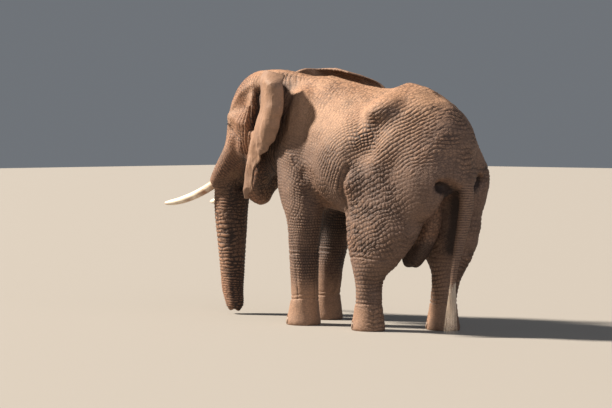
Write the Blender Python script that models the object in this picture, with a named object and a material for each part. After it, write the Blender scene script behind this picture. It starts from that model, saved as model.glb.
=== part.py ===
"""African savanna elephant, adult bull, standing. Metres, +Z up, head toward -X, left side toward -Y."""

import math

import bmesh
import bpy
import numpy as np
from mathutils import Matrix, Vector
from mathutils.bvhtree import BVHTree

for old in list(bpy.data.objects):
    bpy.data.objects.remove(old, do_unlink=True)

# ---- driving sizes -------------------------------------------------------------------------------

CELL = 0.026  # spacing of the grid the body is shaped on
GAP = 0.0003  # clearance left at every thin cut
BODY_TRIANGLES = 2950
BLEND = 0.11  # how softly two masses of flesh run together

# Barrel of the body from the base of the skull to the rump: place along the back, top line,
# under line, half width.
BARREL = (
    ("nape", -1.42, 3.10, 2.02, 0.36),
    ("neck", -1.05, 3.13, 1.86, 0.43),
    ("neck_root", -0.68, 3.20, 1.66, 0.53),
    ("withers", -0.30, 3.21, 1.53, 0.59),
    ("ribs_front", 0.08, 3.12, 1.44, 0.69),
    ("ribs_rear", 0.42, 3.05, 1.385, 0.75),
    ("loin", 0.74, 3.02, 1.39, 0.745),
    ("hip", 1.08, 3.07, 1.47, 0.69),
    ("croup", 1.40, 3.00, 1.58, 0.64),
    ("rump", 1.66, 2.79, 1.66, 0.61),
    ("buttock", 1.85, 2.47, 1.70, 0.55),
    ("tail_set", 1.97, 2.20, 1.78, 0.40),
)
BARREL_WIDEST = 0.42  # height of the widest line as a share of the depth
BARREL_UPPER_POWER = 1.72
BARREL_LOWER_POWER = 2.25

# Legs: each joint with its place along the body, distance from the midline, height, half depth and
# half width.  The left foreleg stands upright, the right one is a short step ahead; the left hind
# leg is a step ahead of the right one.
LEFT_FORELEG = (
    ("shoulder", -0.46, 0.40, 2.15, 0.36, 0.24),
    ("upper_arm", -0.42, 0.43, 1.75, 0.33, 0.24),
    ("elbow", -0.34, 0.43, 1.42, 0.27, 0.22),
    ("forearm", -0.37, 0.41, 1.10, 0.215, 0.20),
    ("wrist", -0.39, 0.39, 0.72, 0.185, 0.185),
    ("pastern", -0.39, 0.38, 0.36, 0.175, 0.175),
    ("foot", -0.41, 0.38, 0.12, 0.215, 0.20),
    ("sole", -0.42, 0.38, -0.05, 0.245, 0.225),
)
RIGHT_FORELEG = (
    ("shoulder", -0.50, 0.40, 2.15, 0.36, 0.24),
    ("upper_arm", -0.52, 0.43, 1.75, 0.33, 0.24),
    ("elbow", -0.53, 0.43, 1.42, 0.27, 0.22),
    ("forearm", -0.62, 0.41, 1.10, 0.215, 0.20),
    ("wrist", -0.70, 0.39, 0.72, 0.185, 0.185),
    ("pastern", -0.73, 0.38, 0.36, 0.175, 0.175),
    ("foot", -0.75, 0.38, 0.12, 0.215, 0.20),
    ("sole", -0.76, 0.38, -0.05, 0.245, 0.225),
)
LEFT_HIND_LEG = (
    ("hip", 1.14, 0.36, 2.20, 0.46, 0.28),
    ("upper_thigh", 1.06, 0.37, 1.75, 0.60, 0.30),
    ("thigh", 1.00, 0.39, 1.40, 0.60, 0.28),
    ("stifle", 0.90, 0.41, 1.08, 0.45, 0.24),
    ("below_stifle", 0.80, 0.40, 0.84, 0.28, 0.20),
    ("shank", 0.745, 0.38, 0.62, 0.185, 0.17),
    ("hock", 0.735, 0.37, 0.40, 0.170, 0.16),
    ("foot", 0.72, 0.36, 0.13, 0.215, 0.175),
    ("sole", 0.71, 0.36, -0.05, 0.250, 0.195),
)
RIGHT_HIND_LEG = (
    ("hip", 1.18, 0.36, 2.20, 0.46, 0.28),
    ("upper_thigh", 1.20, 0.38, 1.75, 0.64, 0.31),
    ("thigh", 1.26, 0.42, 1.40, 0.60, 0.28),
    ("stifle", 1.34, 0.43, 1.08, 0.42, 0.24),
    ("below_stifle", 1.36, 0.41, 0.84, 0.27, 0.20),
    ("shank", 1.345, 0.39, 0.62, 0.185, 0.17),
    ("hock", 1.325, 0.37, 0.40, 0.170, 0.16),
    ("foot", 1.325, 0.36, 0.13, 0.215, 0.175),
    ("sole", 1.32, 0.36, -0.05, 0.250, 0.195),
)

# Trunk, from its root between the eyes to the tip: along, height, half depth, half width.
TRUNK = (
    ("bridge", -1.82, 2.46, 0.27, 0.27),
    ("root", -2.00, 2.14, 0.26, 0.26),
    ("upper", -2.14, 1.84, 0.245, 0.25),
    ("below_tusks", -2.19, 1.50, 0.235, 0.235),
    ("middle", -2.185, 1.10, 0.205, 0.205),
    ("lower", -2.175, 0.70, 0.172, 0.172),
    ("end", -2.165, 0.36, 0.148, 0.148),
    ("tip", -2.125, 0.16, 0.120, 0.125),
)

# Tusks: they leave the lip pointing forward, a little out and down, and sweep up at the end.
TUSK_POINTS = (
    ("socket", -2.02, 0.240, 1.925, 0.060),
    ("lip", -2.29, 0.270, 1.755, 0.060),
    ("first_third", -2.55, 0.315, 1.630, 0.056),
    ("second_third", -2.80, 0.365, 1.545, 0.049),
    ("near_tip", -2.99, 0.405, 1.508, 0.036),
    ("point", -3.075, 0.425, 1.500, 0.018),
)

# Ears: height on the ear, reach from the head to the front edge and to the rear edge, how much more
# it stands off the neck than the upper ear does, and where it grows from the head.
EAR_ROWS = (
    ("lobe_point", 1.60, 0.00, 0.13, 0.0, -1.46, 0.45),
    ("lobe", 1.80, -0.05, 0.29, 0.0, -1.41, 0.45),
    ("lower", 2.05, -0.10, 0.39, -2.0, -1.36, 0.45),
    ("lower_edge", 2.27, -0.13, 0.72, -6.0, -1.33, 0.45),
    ("rear_corner", 2.46, -0.14, 1.08, -2.0, -1.29, 0.43),
    ("widest", 2.75, -0.14, 1.18, 0.0, -1.18, 0.38),
    ("upper", 3.00, -0.14, 1.17, 0.0, -1.18, 0.36),
    ("shoulder", 3.20, -0.14, 1.05, 0.0, -1.23, 0.34),
    ("rim", 3.34, -0.06, 0.74, 0.0, -1.27, 0.33),
)
EAR_ANGLES = (34.0, 27.0)
EAR_REACHES = (0.94, 1.05)  # the left ear is drawn in, so it reaches less far back
EAR_CURLS = (0.085, 0.035)  # how far the rear margin of each ear rolls in towards the neck
EAR_THICKNESS = 0.026
EAR_COLUMNS = 9
EAR_LINES = 12

EYE_AT = (-1.83, 2.585)
EYE_RADIUS = 0.021

TAIL = (
    ("root", 1.95, 0.000, 1.98, 0.075),
    ("base", 2.01, -0.005, 1.80, 0.095),
    ("upper", 2.035, -0.030, 1.56, 0.086),
    ("middle", 2.00, -0.090, 1.20, 0.066),
    ("lower", 1.96, -0.155, 0.85, 0.044),
    ("end", 1.95, -0.190, 0.55, 0.027),
    ("hair", 1.94, -0.205, 0.32, 0.018),
    ("hair_tip", 1.93, -0.220, 0.13, 0.009),
)

SHEATH_TOP = (1.36, 0.0, 1.45)
SHEATH_LOW = (1.10, 0.0, 0.93)
SHEATH_HALF = (0.170, 0.130)

FORE_NAILS = (-52.0, -18.0, 18.0, 52.0)
HIND_NAILS = (-38.0, 0.0, 38.0)


# ---- shaping on a grid ---------------------------------------------------------------------------

LOW = np.array((-2.62, -1.02, -0.13))
HIGH = np.array((2.34, 1.02, 3.50))
SHAPE = tuple(int(n) for n in np.ceil((HIGH - LOW) / CELL) + 1)
FIELD = np.full(SHAPE, 9.0, dtype=np.float32)


def block(low, high, margin=0.30):
    """The part of the grid around a box, as slices and its coordinates."""
    first = np.maximum(((np.array(low) - margin - LOW) / CELL).astype(int), 0)
    last = np.minimum(((np.array(high) + margin - LOW) / CELL).astype(int) + 2, SHAPE)
    cut = tuple(slice(a, b) for a, b in zip(first, last))
    axes = [LOW[k] + CELL * np.arange(first[k], last[k]) for k in range(3)]
    return cut, np.meshgrid(*axes, indexing="ij", sparse=True)


def soften(a, b, k):
    """The nearer of two surfaces, run together over the distance k."""
    h = np.clip(0.5 + 0.5 * (b - a) / k, 0.0, 1.0)
    return b * (1.0 - h) + a * h - k * h * (1.0 - h)


def add(low, high, shape, k=BLEND):
    cut, xyz = block(low, high)
    FIELD[cut] = soften(FIELD[cut], shape(*xyz), k)


def carve(low, high, shape, k=0.05):
    cut, xyz = block(low, high)
    FIELD[cut] = -soften(-FIELD[cut], shape(*xyz), k)


def egg(centre, radii, pitch=0.0, yaw=0.0):
    """An ellipsoid, pitched about Y (front down) and yawed about Z."""
    turn = Matrix.Rotation(math.radians(yaw), 3, "Z") @ Matrix.Rotation(math.radians(pitch), 3, "Y")
    axes = [np.array(turn.col[k]) for k in range(3)]

    def shape(x, y, z):
        d = (x - centre[0], y - centre[1], z - centre[2])
        along = [d[0] * a[0] + d[1] * a[1] + d[2] * a[2] for a in axes]
        near = np.sqrt(sum((v / r) ** 2 for v, r in zip(along, radii)))
        steep = np.sqrt(sum((v / r**2) ** 2 for v, r in zip(along, radii))) + 1e-6
        return near * (near - 1.0) / steep

    reach = max(radii)
    return [c - reach for c in centre], [c + reach for c in centre], shape


def smooth_rows(rows, count):
    """Named rows run through by a smooth curve and returned as count even steps."""
    knots = np.array([row[1:] for row in rows], dtype=float)
    knots = np.vstack((2 * knots[0] - knots[1], knots, 2 * knots[-1] - knots[-2]))
    out = []
    for step in np.linspace(0.0, len(knots) - 3 - 1e-9, count):
        k = int(step)
        t = step - k
        a, b, c, d = knots[k : k + 4]
        out.append(
            0.5 * (2 * b + (c - a) * t + (2 * a - 5 * b + 4 * c - d) * t**2 + (3 * b - a - 3 * c + d) * t**3)
        )
    return np.array(out)


def limb(points, depths, widths):
    """A tapering rod through the points, half depth along X and half width along Y at each."""
    depths = np.array(depths)
    widths = np.array(widths)
    reach = float(max(depths.max(), widths.max()))

    def shape(x, y, z):
        nearest = None
        for k in range(len(points) - 1):
            a = points[k]
            run = points[k + 1] - a
            h = ((x - a[0]) * run[0] + (y - a[1]) * run[1] + (z - a[2]) * run[2]) / float(run @ run)
            h = np.clip(h, 0.0, 1.0)
            depth = depths[k] + (depths[k + 1] - depths[k]) * h
            width = widths[k] + (widths[k + 1] - widths[k]) * h
            mean = 0.5 * (depth + width)
            ex = (x - a[0] - run[0] * h) / depth
            ey = (y - a[1] - run[1] * h) / width
            ez = (z - a[2] - run[2] * h) / mean
            d = (np.sqrt(ex**2 + ey**2 + ez**2) - 1.0) * mean
            nearest = d if nearest is None else np.minimum(nearest, d)
        return nearest

    return points.min(0) - reach, points.max(0) + reach, shape


def leg(rows, side, count=16):
    table = smooth_rows(rows, count)
    points = np.stack((table[:, 0], side * table[:, 1], table[:, 2]), axis=1)
    return limb(points, table[:, 3], table[:, 4])


def barrel():
    table = smooth_rows(BARREL, 60)

    def shape(x, y, z):
        top = np.interp(x, table[:, 0], table[:, 1])
        under = np.interp(x, table[:, 0], table[:, 2])
        half = np.interp(x, table[:, 0], table[:, 3])
        wide = under + BARREL_WIDEST * (top - under)
        up = z > wide
        rise = np.where(up, top - wide, wide - under)
        power = np.where(up, BARREL_UPPER_POWER, BARREL_LOWER_POWER)
        near = (np.abs(y) / half) ** power + (np.abs(z - wide) / rise) ** power
        d = (near ** (1.0 / power) - 1.0) * np.minimum(half, rise)
        ends = np.maximum(x - table[-1, 0], table[0, 0] - x)
        return np.maximum(d, ends)

    return (table[0, 0], -0.85, 1.3), (table[-1, 0], 0.85, 3.25), shape


add(*barrel())
add(*egg((1.62, 0.0, 2.28), (0.40, 0.46, 0.56)))
for side in (-1, 1):
    add(*leg(LEFT_FORELEG if side < 0 else RIGHT_FORELEG, side))
    add(*leg(LEFT_HIND_LEG if side < 0 else RIGHT_HIND_LEG, side))
    # shoulder blade, hip bone, buttock
    add(*egg((-0.36, side * 0.36, 2.50), (0.24, 0.20, 0.52), pitch=-12.0))
    add(*egg((1.06, side * 0.38, 2.74), (0.24, 0.24, 0.17), yaw=side * -20.0), k=0.14)
    add(*egg((1.61, side * 0.42, 1.86), (0.37, 0.25, 0.44)))
# the end of the backbone, running down into the root of the tail
sacrum = np.array(((1.60, 0.0, 2.72), (1.80, 0.0, 2.50), (1.93, 0.0, 2.22), (1.985, 0.0, 1.90)))
add(*limb(sacrum, (0.12, 0.11, 0.105, 0.105), (0.12, 0.12, 0.13, 0.16)), k=0.06)

# Head: dome of the skull, forehead, cheek bones, tusk sockets, trunk and lower jaw.
add(*egg((-1.50, 0.0, 2.76), (0.47, 0.41, 0.55), pitch=-8.0))
add(*egg((-1.78, 0.0, 2.58), (0.34, 0.31, 0.50), pitch=8.0), k=0.14)
for side in (-1, 1):
    add(*egg((-1.48, side * 0.25, 2.42), (0.34, 0.20, 0.34), pitch=20.0))
    add(*egg((-1.77, side * 0.27, 2.615), (0.16, 0.11, 0.12)), k=0.07)
    socket = np.array(
        ((-1.72, side * 0.19, 2.36), (-1.98, side * 0.225, 2.06), (-2.20, side * 0.262, 1.81))
    )
    add(*limb(socket, (0.20, 0.17, 0.105), (0.19, 0.145, 0.10)), k=0.09)
    # hollow of the temple above and behind the eye
    carve(*egg((-1.62, side * 0.47, 2.86), (0.17, 0.10, 0.15)), k=0.10)
trunk_table = smooth_rows(TRUNK, 26)
trunk_points = np.stack((trunk_table[:, 0], 0.0 * trunk_table[:, 0], trunk_table[:, 1]), axis=1)
add(*limb(trunk_points, trunk_table[:, 2], trunk_table[:, 3]), k=0.09)
for side in (-1, 1):
    jaw_side = np.array(
        ((-1.34, side * 0.20, 2.12), (-1.52, side * 0.12, 1.86), (-1.72, side * 0.05, 1.72))
    )
    add(*limb(jaw_side, (0.20, 0.17, 0.14), (0.17, 0.15, 0.13)), k=0.10)
add(*egg((-1.60, 0.0, 1.70), (0.16, 0.15, 0.20)), k=0.08)
add(*egg((-1.66, 0.0, 2.04), (0.24, 0.25, 0.26)), k=0.08)
lower_lip = np.array(((-1.66, 0.0, 1.71), (-1.77, 0.0, 1.675), (-1.865, 0.0, 1.65)))
add(*limb(lower_lip, (0.12, 0.080, 0.036), (0.13, 0.080, 0.04)), k=0.025)
# mouth, between the lower lip and the root of the trunk
carve(*egg((-1.90, 0.0, 1.755), (0.13, 0.30, 0.030), pitch=-30.0), k=0.02)
# end of the trunk: a finger in front, a blunter one behind, and the hollow between them
add(*egg((-2.195, 0.0, 0.115), (0.045, 0.045, 0.060)), k=0.03)
add(*egg((-2.045, 0.0, 0.125), (0.042, 0.050, 0.050)), k=0.03)
carve(*egg((-2.12, 0.0, 0.03), (0.055, 0.075, 0.055)), k=0.02)

# Hollow behind the last rib, hollow each side of the tail, cleft between the thighs.
for side in (-1, 1):
    carve(*egg((1.00, side * 0.90, 2.38), (0.20, 0.24, 0.52), pitch=27.0), k=0.20)
    carve(*egg((2.02, side * 0.270, 1.83), (0.15, 0.080, 0.085)), k=0.06)
carve(*egg((1.93, 0.0, 1.42), (0.28, 0.11, 0.36), pitch=-25.0), k=0.09)


def net(field):
    """Closed skin of four-sided faces where the grid passes from inside to outside."""
    inside = field < 0.0
    cells = tuple(n - 1 for n in field.shape)
    place = np.zeros(cells + (3,), dtype=np.float64)
    hits = np.zeros(cells, dtype=np.int32)
    for axis in range(3):
        others = [k for k in range(3) if k != axis]
        for du in (0, 1):
            for dv in (0, 1):
                near = [slice(None)] * 3
                near[axis] = slice(0, cells[axis])
                near[others[0]] = slice(du, du + cells[others[0]])
                near[others[1]] = slice(dv, dv + cells[others[1]])
                far = list(near)
                far[axis] = slice(1, cells[axis] + 1)
                a = field[tuple(near)]
                b = field[tuple(far)]
                crossed = (a < 0.0) != (b < 0.0)
                t = np.where(crossed, a / np.where(crossed, a - b, 1.0), 0.0)
                place[..., axis] += t
                place[..., others[0]] += du * crossed
                place[..., others[1]] += dv * crossed
                hits += crossed
    used = hits > 0
    number = np.full(cells, -1, dtype=np.int64)
    number[used] = np.arange(int(used.sum()))
    index = np.stack(np.nonzero(used), axis=1)
    points = LOW + CELL * (index + place[used] / hits[used][:, None])
    faces = []
    for axis in range(3):
        u, v = [k for k in range(3) if k != axis]
        a = np.moveaxis(inside, (axis, u, v), (0, 1, 2))
        n = np.moveaxis(number, (axis, u, v), (0, 1, 2))
        here = a[:-1, 1:-1, 1:-1]
        there = a[1:, 1:-1, 1:-1]
        quad = np.stack((n[:, :-1, :-1], n[:, 1:, :-1], n[:, 1:, 1:], n[:, :-1, 1:]), axis=-1)
        out = quad[here & ~there]
        back = quad[~here & there][:, ::-1]
        if axis == 1:
            out, back = out[:, ::-1], back[:, ::-1]
        faces += [out, back]
    return points, np.concatenate(faces)


# ---- mesh helpers --------------------------------------------------------------------------------


def as_object(name, points, faces):
    mesh = bpy.data.meshes.new(name)
    mesh.from_pydata([tuple(p) for p in points], [], [tuple(int(i) for i in f) for f in faces])
    mesh.validate()
    mesh.update()
    thing = bpy.data.objects.new(name, mesh)
    bpy.context.scene.collection.objects.link(thing)
    return thing


def settle(thing):
    """Replace the mesh by what its modifiers make of it."""
    graph = bpy.context.evaluated_depsgraph_get()
    mesh = bpy.data.meshes.new_from_object(thing.evaluated_get(graph))
    thing.modifiers.clear()
    thing.data = mesh
    return thing


def tidy(thing):
    """Triangles only, no doubled points or flat leftovers, outward faces, one body."""
    bm = bmesh.new()
    bm.from_mesh(thing.data)
    bmesh.ops.remove_doubles(bm, verts=bm.verts[:], dist=0.00005)
    bmesh.ops.dissolve_degenerate(bm, edges=bm.edges[:], dist=0.00005)
    bmesh.ops.triangulate(bm, faces=bm.faces[:])
    bmesh.ops.recalc_face_normals(bm, faces=bm.faces[:])
    islands = []
    seen = set()
    for face in bm.faces:
        if face in seen:
            continue
        stack = [face]
        seen.add(face)
        island = []
        while stack:
            item = stack.pop()
            island.append(item)
            for edge in item.edges:
                for other in edge.link_faces:
                    if other not in seen:
                        seen.add(other)
                        stack.append(other)
        islands.append(island)
    islands.sort(key=len, reverse=True)
    for island in islands[1:]:
        bmesh.ops.delete(bm, geom=island, context="FACES")
    bmesh.ops.delete(bm, geom=[v for v in bm.verts if not v.link_faces], context="VERTS")
    bm.to_mesh(thing.data)
    bm.free()
    return thing


def combine(thing, cutter, operation):
    step = thing.modifiers.new("cut", "BOOLEAN")
    step.operation = operation
    step.solver = "EXACT"
    step.object = cutter
    return settle(thing)


def copy_of(thing, name):
    twin = thing.copy()
    twin.data = thing.data.copy()
    twin.name = name
    bpy.context.scene.collection.objects.link(twin)
    return twin


def grown(thing, amount):
    """A copy swollen along its normals."""
    twin = copy_of(thing, "grown")
    count = len(twin.data.vertices)
    co = np.empty(count * 3)
    no = np.empty(count * 3)
    twin.data.vertices.foreach_get("co", co)
    twin.data.vertices.foreach_get("normal", no)
    twin.data.vertices.foreach_set("co", co + no * amount)
    twin.data.update()
    return twin


def drop(thing):
    bpy.data.objects.remove(thing, do_unlink=True)


def slab(corners, grow=0.0):
    """An eight-cornered block: four corners of the under face, then the four above them."""
    centre = sum((Vector(c) for c in corners), Vector()) / 8.0
    points = []
    for corner in corners:
        away = Vector(corner) - centre
        points.append([corner[k] + math.copysign(grow, away[k]) for k in range(3)])
    faces = ((0, 3, 2, 1), (4, 5, 6, 7), (0, 1, 5, 4), (1, 2, 6, 5), (2, 3, 7, 6), (3, 0, 4, 7))
    return as_object("slab", points, faces)


def box_corners(x0, x1, y0, y1, z0, z1, rise=0.0, lean=0.0):
    """A block whose upper face rises by rise from x0 to x1 and whose ends lean by lean."""
    under = [(x0, y0, z0), (x1, y0, z0), (x1, y1, z0), (x0, y1, z0)]
    over = [(x0 + lean, y0, z1), (x1 + lean, y0, z1 + rise), (x1 + lean, y1, z1 + rise)]
    return under + over + [(x0 + lean, y1, z1)]


def part_off(body, name, corners):
    """Cut the piece inside the block off the body, leaving a thin gap."""
    piece = copy_of(body, name)
    block_in = slab(corners)
    combine(piece, block_in, "INTERSECT")
    drop(block_in)
    block_out = slab(corners, GAP)
    combine(body, block_out, "DIFFERENCE")
    drop(block_out)
    tidy(piece)
    return piece


def tube(name, points, radii, sides, squash=1.0):
    """A closed round rod through the points."""
    rings = []
    count = len(points)
    for k in range(count):
        ahead = Vector(points[min(k + 1, count - 1)]) - Vector(points[max(k - 1, 0)])
        ahead.normalize()
        side = ahead.cross(Vector((0.0, 1.0, 0.0)))
        if side.length < 0.3:
            side = ahead.cross(Vector((1.0, 0.0, 0.0)))
        side.normalize()
        over = ahead.cross(side)
        ring = []
        for j in range(sides):
            turn = 2.0 * math.pi * j / sides
            offset = side * math.cos(turn) * squash + over * math.sin(turn)
            ring.append(Vector(points[k]) + offset * radii[k])
        rings.append(ring)
    flat = [p for ring in rings for p in ring]
    faces = []
    for k in range(count - 1):
        for j in range(sides):
            a = k * sides + j
            b = k * sides + (j + 1) % sides
            faces.append((a, b, b + sides, a + sides))
    flat += [Vector(points[0]), Vector(points[-1])]
    for j in range(sides):
        faces.append((len(flat) - 2, (j + 1) % sides, j))
        last = (count - 1) * sides
        faces.append((len(flat) - 1, last + j, last + (j + 1) % sides))
    return tidy(as_object(name, flat, faces))


def ball(name, centre, radii, sides, bands, turn=None):
    bm = bmesh.new()
    bmesh.ops.create_uvsphere(bm, u_segments=sides, v_segments=bands, radius=1.0)
    scale = Matrix.Diagonal((*radii, 1.0))
    place = Matrix.Translation(centre) @ (turn or Matrix.Identity(4)) @ scale
    bmesh.ops.transform(bm, matrix=place, verts=bm.verts[:])
    mesh = bpy.data.meshes.new(name)
    bm.to_mesh(mesh)
    bm.free()
    thing = bpy.data.objects.new(name, mesh)
    bpy.context.scene.collection.objects.link(thing)
    return tidy(thing)


# ---- the body in one piece -----------------------------------------------------------------------

body_points, body_faces = net(FIELD)
body = as_object("body", body_points, body_faces)
bm = bmesh.new()
bm.from_mesh(body.data)
bmesh.ops.triangulate(bm, faces=bm.faces[:])
bmesh.ops.recalc_face_normals(bm, faces=bm.faces[:])
bm.to_mesh(body.data)
bm.free()
step = body.modifiers.new("coarser", "DECIMATE")
step.ratio = BODY_TRIANGLES / len(body.data.polygons)
settle(body)
tidy(body)
print("body", len(body.data.polygons))

# flat soles on the floor
floor_block = slab(box_corners(-3.2, 3.2, -1.5, 1.5, -0.6, 0.0))
combine(body, floor_block, "DIFFERENCE")
drop(floor_block)
tidy(body)

# ---- ears ----------------------------------------------------------------------------------------


def ear(name, side):
    table = smooth_rows(EAR_ROWS, EAR_LINES)
    which = 0 if side < 0 else 1
    stand_off = EAR_ANGLES[which]
    bottom = table[0, 0]
    top = table[-1, 0]
    front_points = []
    for height, start, end, more, root_x, root_y in table:
        level = (height - bottom) / (top - bottom)
        turn = math.radians(stand_off + more)
        row = []
        for k in range(EAR_COLUMNS):
            share = k / (EAR_COLUMNS - 1)
            reach = start + (end * EAR_REACHES[which] - start) * share
            # the sheet swells out near the head, lies back, and its edge turns out again
            swell = 0.075 * math.sin(math.pi * min(1.0, share * 1.25)) - 0.05 * share**3
            swell += 0.022 * math.sin(9.0 * reach + 1.0) * (1.0 - level) * share
            roll = max(0.0, (level - 0.88) / 0.12)
            swell -= 0.085 * roll**1.5
            curl = max(0.0, share - 0.80) / 0.20
            swell -= EAR_CURLS[which] * curl**1.6 * min(1.0, max(0.0, 3.0 * level - 0.5))
            # the upper edge falls away towards the head and towards the rear corner
            fall = 0.11 * max(0.0, 1.0 - 3.5 * share) ** 2 + 0.06 * max(0.0, share - 0.55) ** 2 / 0.2
            x = root_x + reach * math.cos(turn) - swell * math.sin(turn)
            y = root_y + reach * math.sin(turn) + swell * math.cos(turn)
            row.append(Vector((x, side * y, height - (fall + 0.01) * min(1.0, max(0.0, 5.0 * level - 4.0)))))
        front_points.append(row)
    rows = len(front_points)
    normals = []
    for j in range(rows):
        line = []
        for k in range(EAR_COLUMNS):
            up = front_points[min(j + 1, rows - 1)][k] - front_points[max(j - 1, 0)][k]
            out = front_points[j][min(k + 1, EAR_COLUMNS - 1)] - front_points[j][max(k - 1, 0)]
            n = out.cross(up)
            n.normalize()
            line.append(n * (-1.0 if side > 0 else 1.0))
        normals.append(line)
    points = []
    for layer in (0.5, -0.5):
        for j in range(rows):
            for k in range(EAR_COLUMNS):
                share = k / (EAR_COLUMNS - 1)
                thick = EAR_THICKNESS + 0.030 * max(0.0, 1.0 - 3.0 * share)
                points.append(front_points[j][k] + normals[j][k] * thick * layer)
    half = rows * EAR_COLUMNS
    faces = []
    for j in range(rows - 1):
        for k in range(EAR_COLUMNS - 1):
            a = j * EAR_COLUMNS + k
            faces.append((a, a + 1, a + 1 + EAR_COLUMNS, a + EAR_COLUMNS))
            b = a + half
            faces.append((b, b + EAR_COLUMNS, b + EAR_COLUMNS + 1, b + 1))
    loop = [k for k in range(EAR_COLUMNS)]
    loop += [j * EAR_COLUMNS + EAR_COLUMNS - 1 for j in range(1, rows)]
    loop += [(rows - 1) * EAR_COLUMNS + k for k in range(EAR_COLUMNS - 2, -1, -1)]
    loop += [j * EAR_COLUMNS for j in range(rows - 2, 0, -1)]
    for k in range(len(loop)):
        a = loop[k]
        b = loop[(k + 1) % len(loop)]
        faces.append((a, b, b + half, a + half))
    return tidy(as_object(name, points, faces))


left_ear = ear("left_ear", -1)
right_ear = ear("right_ear", 1)

# ---- tusks, eyes, tail, sheath -------------------------------------------------------------------

tusk_table = smooth_rows(TUSK_POINTS, 12)
tusks = {}
for name, side in (("left_tusk", -1), ("right_tusk", 1)):
    line = [(row[0], side * row[1], row[2]) for row in tusk_table]
    tusks[name] = tube(name, line, tusk_table[:, 3], 10)

body_tree = BVHTree.FromObject(body, bpy.context.evaluated_depsgraph_get())
eyes = {}
for name, side in (("left_eye", -1), ("right_eye", 1)):
    start = Vector((EYE_AT[0], side * 1.5, EYE_AT[1]))
    hit, normal, _, _ = body_tree.ray_cast(start, Vector((0.0, -side, 0.0)))
    centre = hit - normal * 0.009
    eyes[name] = ball(name, centre, (EYE_RADIUS,) * 3, 10, 6)
    print(name, [round(v, 3) for v in centre])

tail_table = smooth_rows(TAIL, 13)
tail = tube("tail", [tuple(row[:3]) for row in tail_table], tail_table[:, 3], 10)

sheath_rows = 9
sheath_line = []
sheath_radii = []
for k in range(sheath_rows):
    share = k / (sheath_rows - 1)
    sheath_line.append(
        tuple(SHEATH_TOP[i] + (SHEATH_LOW[i] - SHEATH_TOP[i]) * share * 1.27 for i in range(3))
    )
    sheath_radii.append(SHEATH_HALF[1] * math.sqrt(max(0.02, 1.0 - max(0.0, share - 0.35) ** 2 / 0.44)))
sheath = tube("sheath", sheath_line, sheath_radii, 12, squash=SHEATH_HALF[0] / SHEATH_HALF[1])

body_skin = grown(body, GAP)
for thing in (left_ear, right_ear, tail, sheath):
    combine(thing, body_skin, "DIFFERENCE")
    tidy(thing)
drop(body_skin)
for thing in list(tusks.values()) + list(eyes.values()):
    hole = grown(thing, GAP)
    combine(body, hole, "DIFFERENCE")
    drop(hole)
tidy(body)

# ---- toenails ------------------------------------------------------------------------------------

nails = []
feet = (
    ("left_fore", LEFT_FORELEG, -1, FORE_NAILS),
    ("right_fore", RIGHT_FORELEG, 1, FORE_NAILS),
    ("left_hind", LEFT_HIND_LEG, -1, HIND_NAILS),
    ("right_hind", RIGHT_HIND_LEG, 1, HIND_NAILS),
)
body_tree = BVHTree.FromObject(body, bpy.context.evaluated_depsgraph_get())
for foot_name, rows, side, angles in feet:
    along, away = rows[-1][1], rows[-1][2]
    for number, angle in enumerate(angles, 1):
        turn = math.radians(180.0 + angle)
        out = Vector((math.cos(turn), math.sin(turn), 0.0))
        start = Vector((along, side * away, 0.062)) + out * 0.6
        hit, normal, _, _ = body_tree.ray_cast(start, -out)
        facing = Matrix.Rotation(turn, 4, "Z") @ Matrix.Rotation(math.radians(-14.0), 4, "Y")
        place = hit - out * 0.004
        nail = ball(f"{foot_name}_nail_{number}", place, (0.016, 0.050, 0.048), 7, 4, facing)
        nails.append(nail)
for nail in nails:
    hole = grown(nail, GAP)
    combine(body, hole, "DIFFERENCE")
    drop(hole)
tidy(body)

# ---- thin cuts into named nodes ------------------------------------------------------------------

nodes = []
for name, y0, y1, x0, x1 in (
    ("left", -1.0, -0.105, -1.10, -0.02),
    ("right", 0.105, 1.0, -1.20, -0.14),
):
    upper = part_off(body, f"{name}_upper_foreleg", box_corners(x0, x1, y0, y1, -0.2, 1.53))
    lower = part_off(upper, f"{name}_lower_foreleg", box_corners(-1.6, 0.6, y0, y1, -0.3, 0.93))
    foot = part_off(lower, f"{name}_forefoot", box_corners(-1.6, 0.6, y0, y1, -0.4, 0.27))
    nodes += [upper, lower, foot]
for name, y0, y1 in (("left", -1.0, -0.105), ("right", 0.105, 1.0)):
    thigh = part_off(body, f"{name}_thigh", box_corners(0.30, 2.25, y0, y1, -0.2, 1.36, rise=0.34))
    shank = part_off(thigh, f"{name}_shank", box_corners(0.0, 2.6, y0, y1, -0.3, 0.86))
    foot = part_off(shank, f"{name}_hind_foot", box_corners(0.0, 2.6, y0, y1, -0.4, 0.27))
    nodes += [thigh, shank, foot]
trunk_upper = part_off(body, "trunk_upper", box_corners(-2.9, -1.90, -0.6, 0.6, -0.2, 1.60))
trunk_middle = part_off(trunk_upper, "trunk_middle", box_corners(-2.9, -1.7, -0.6, 0.6, -0.3, 1.08))
trunk_lower = part_off(trunk_middle, "trunk_lower", box_corners(-2.9, -1.7, -0.6, 0.6, -0.4, 0.58))
jaw = part_off(body, "jaw", box_corners(-2.02, -1.26, -0.7, 0.7, 1.2, 1.78, rise=0.36))
head = part_off(body, "head", box_corners(-2.9, -1.22, -0.9, 0.9, 1.0, 3.6, lean=0.20))
neck = part_off(body, "neck", box_corners(-2.9, -0.82, -0.95, 0.95, 1.0, 3.6, lean=0.16))
body.name = "torso"
body.data.name = "torso"
nodes += [trunk_upper, trunk_middle, trunk_lower, jaw, head, neck, body]
nodes += [left_ear, right_ear, tail, sheath] + list(tusks.values()) + list(eyes.values()) + nails
for thing in nodes:
    tidy(thing)

# ---- place, materials, shading -------------------------------------------------------------------

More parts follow.
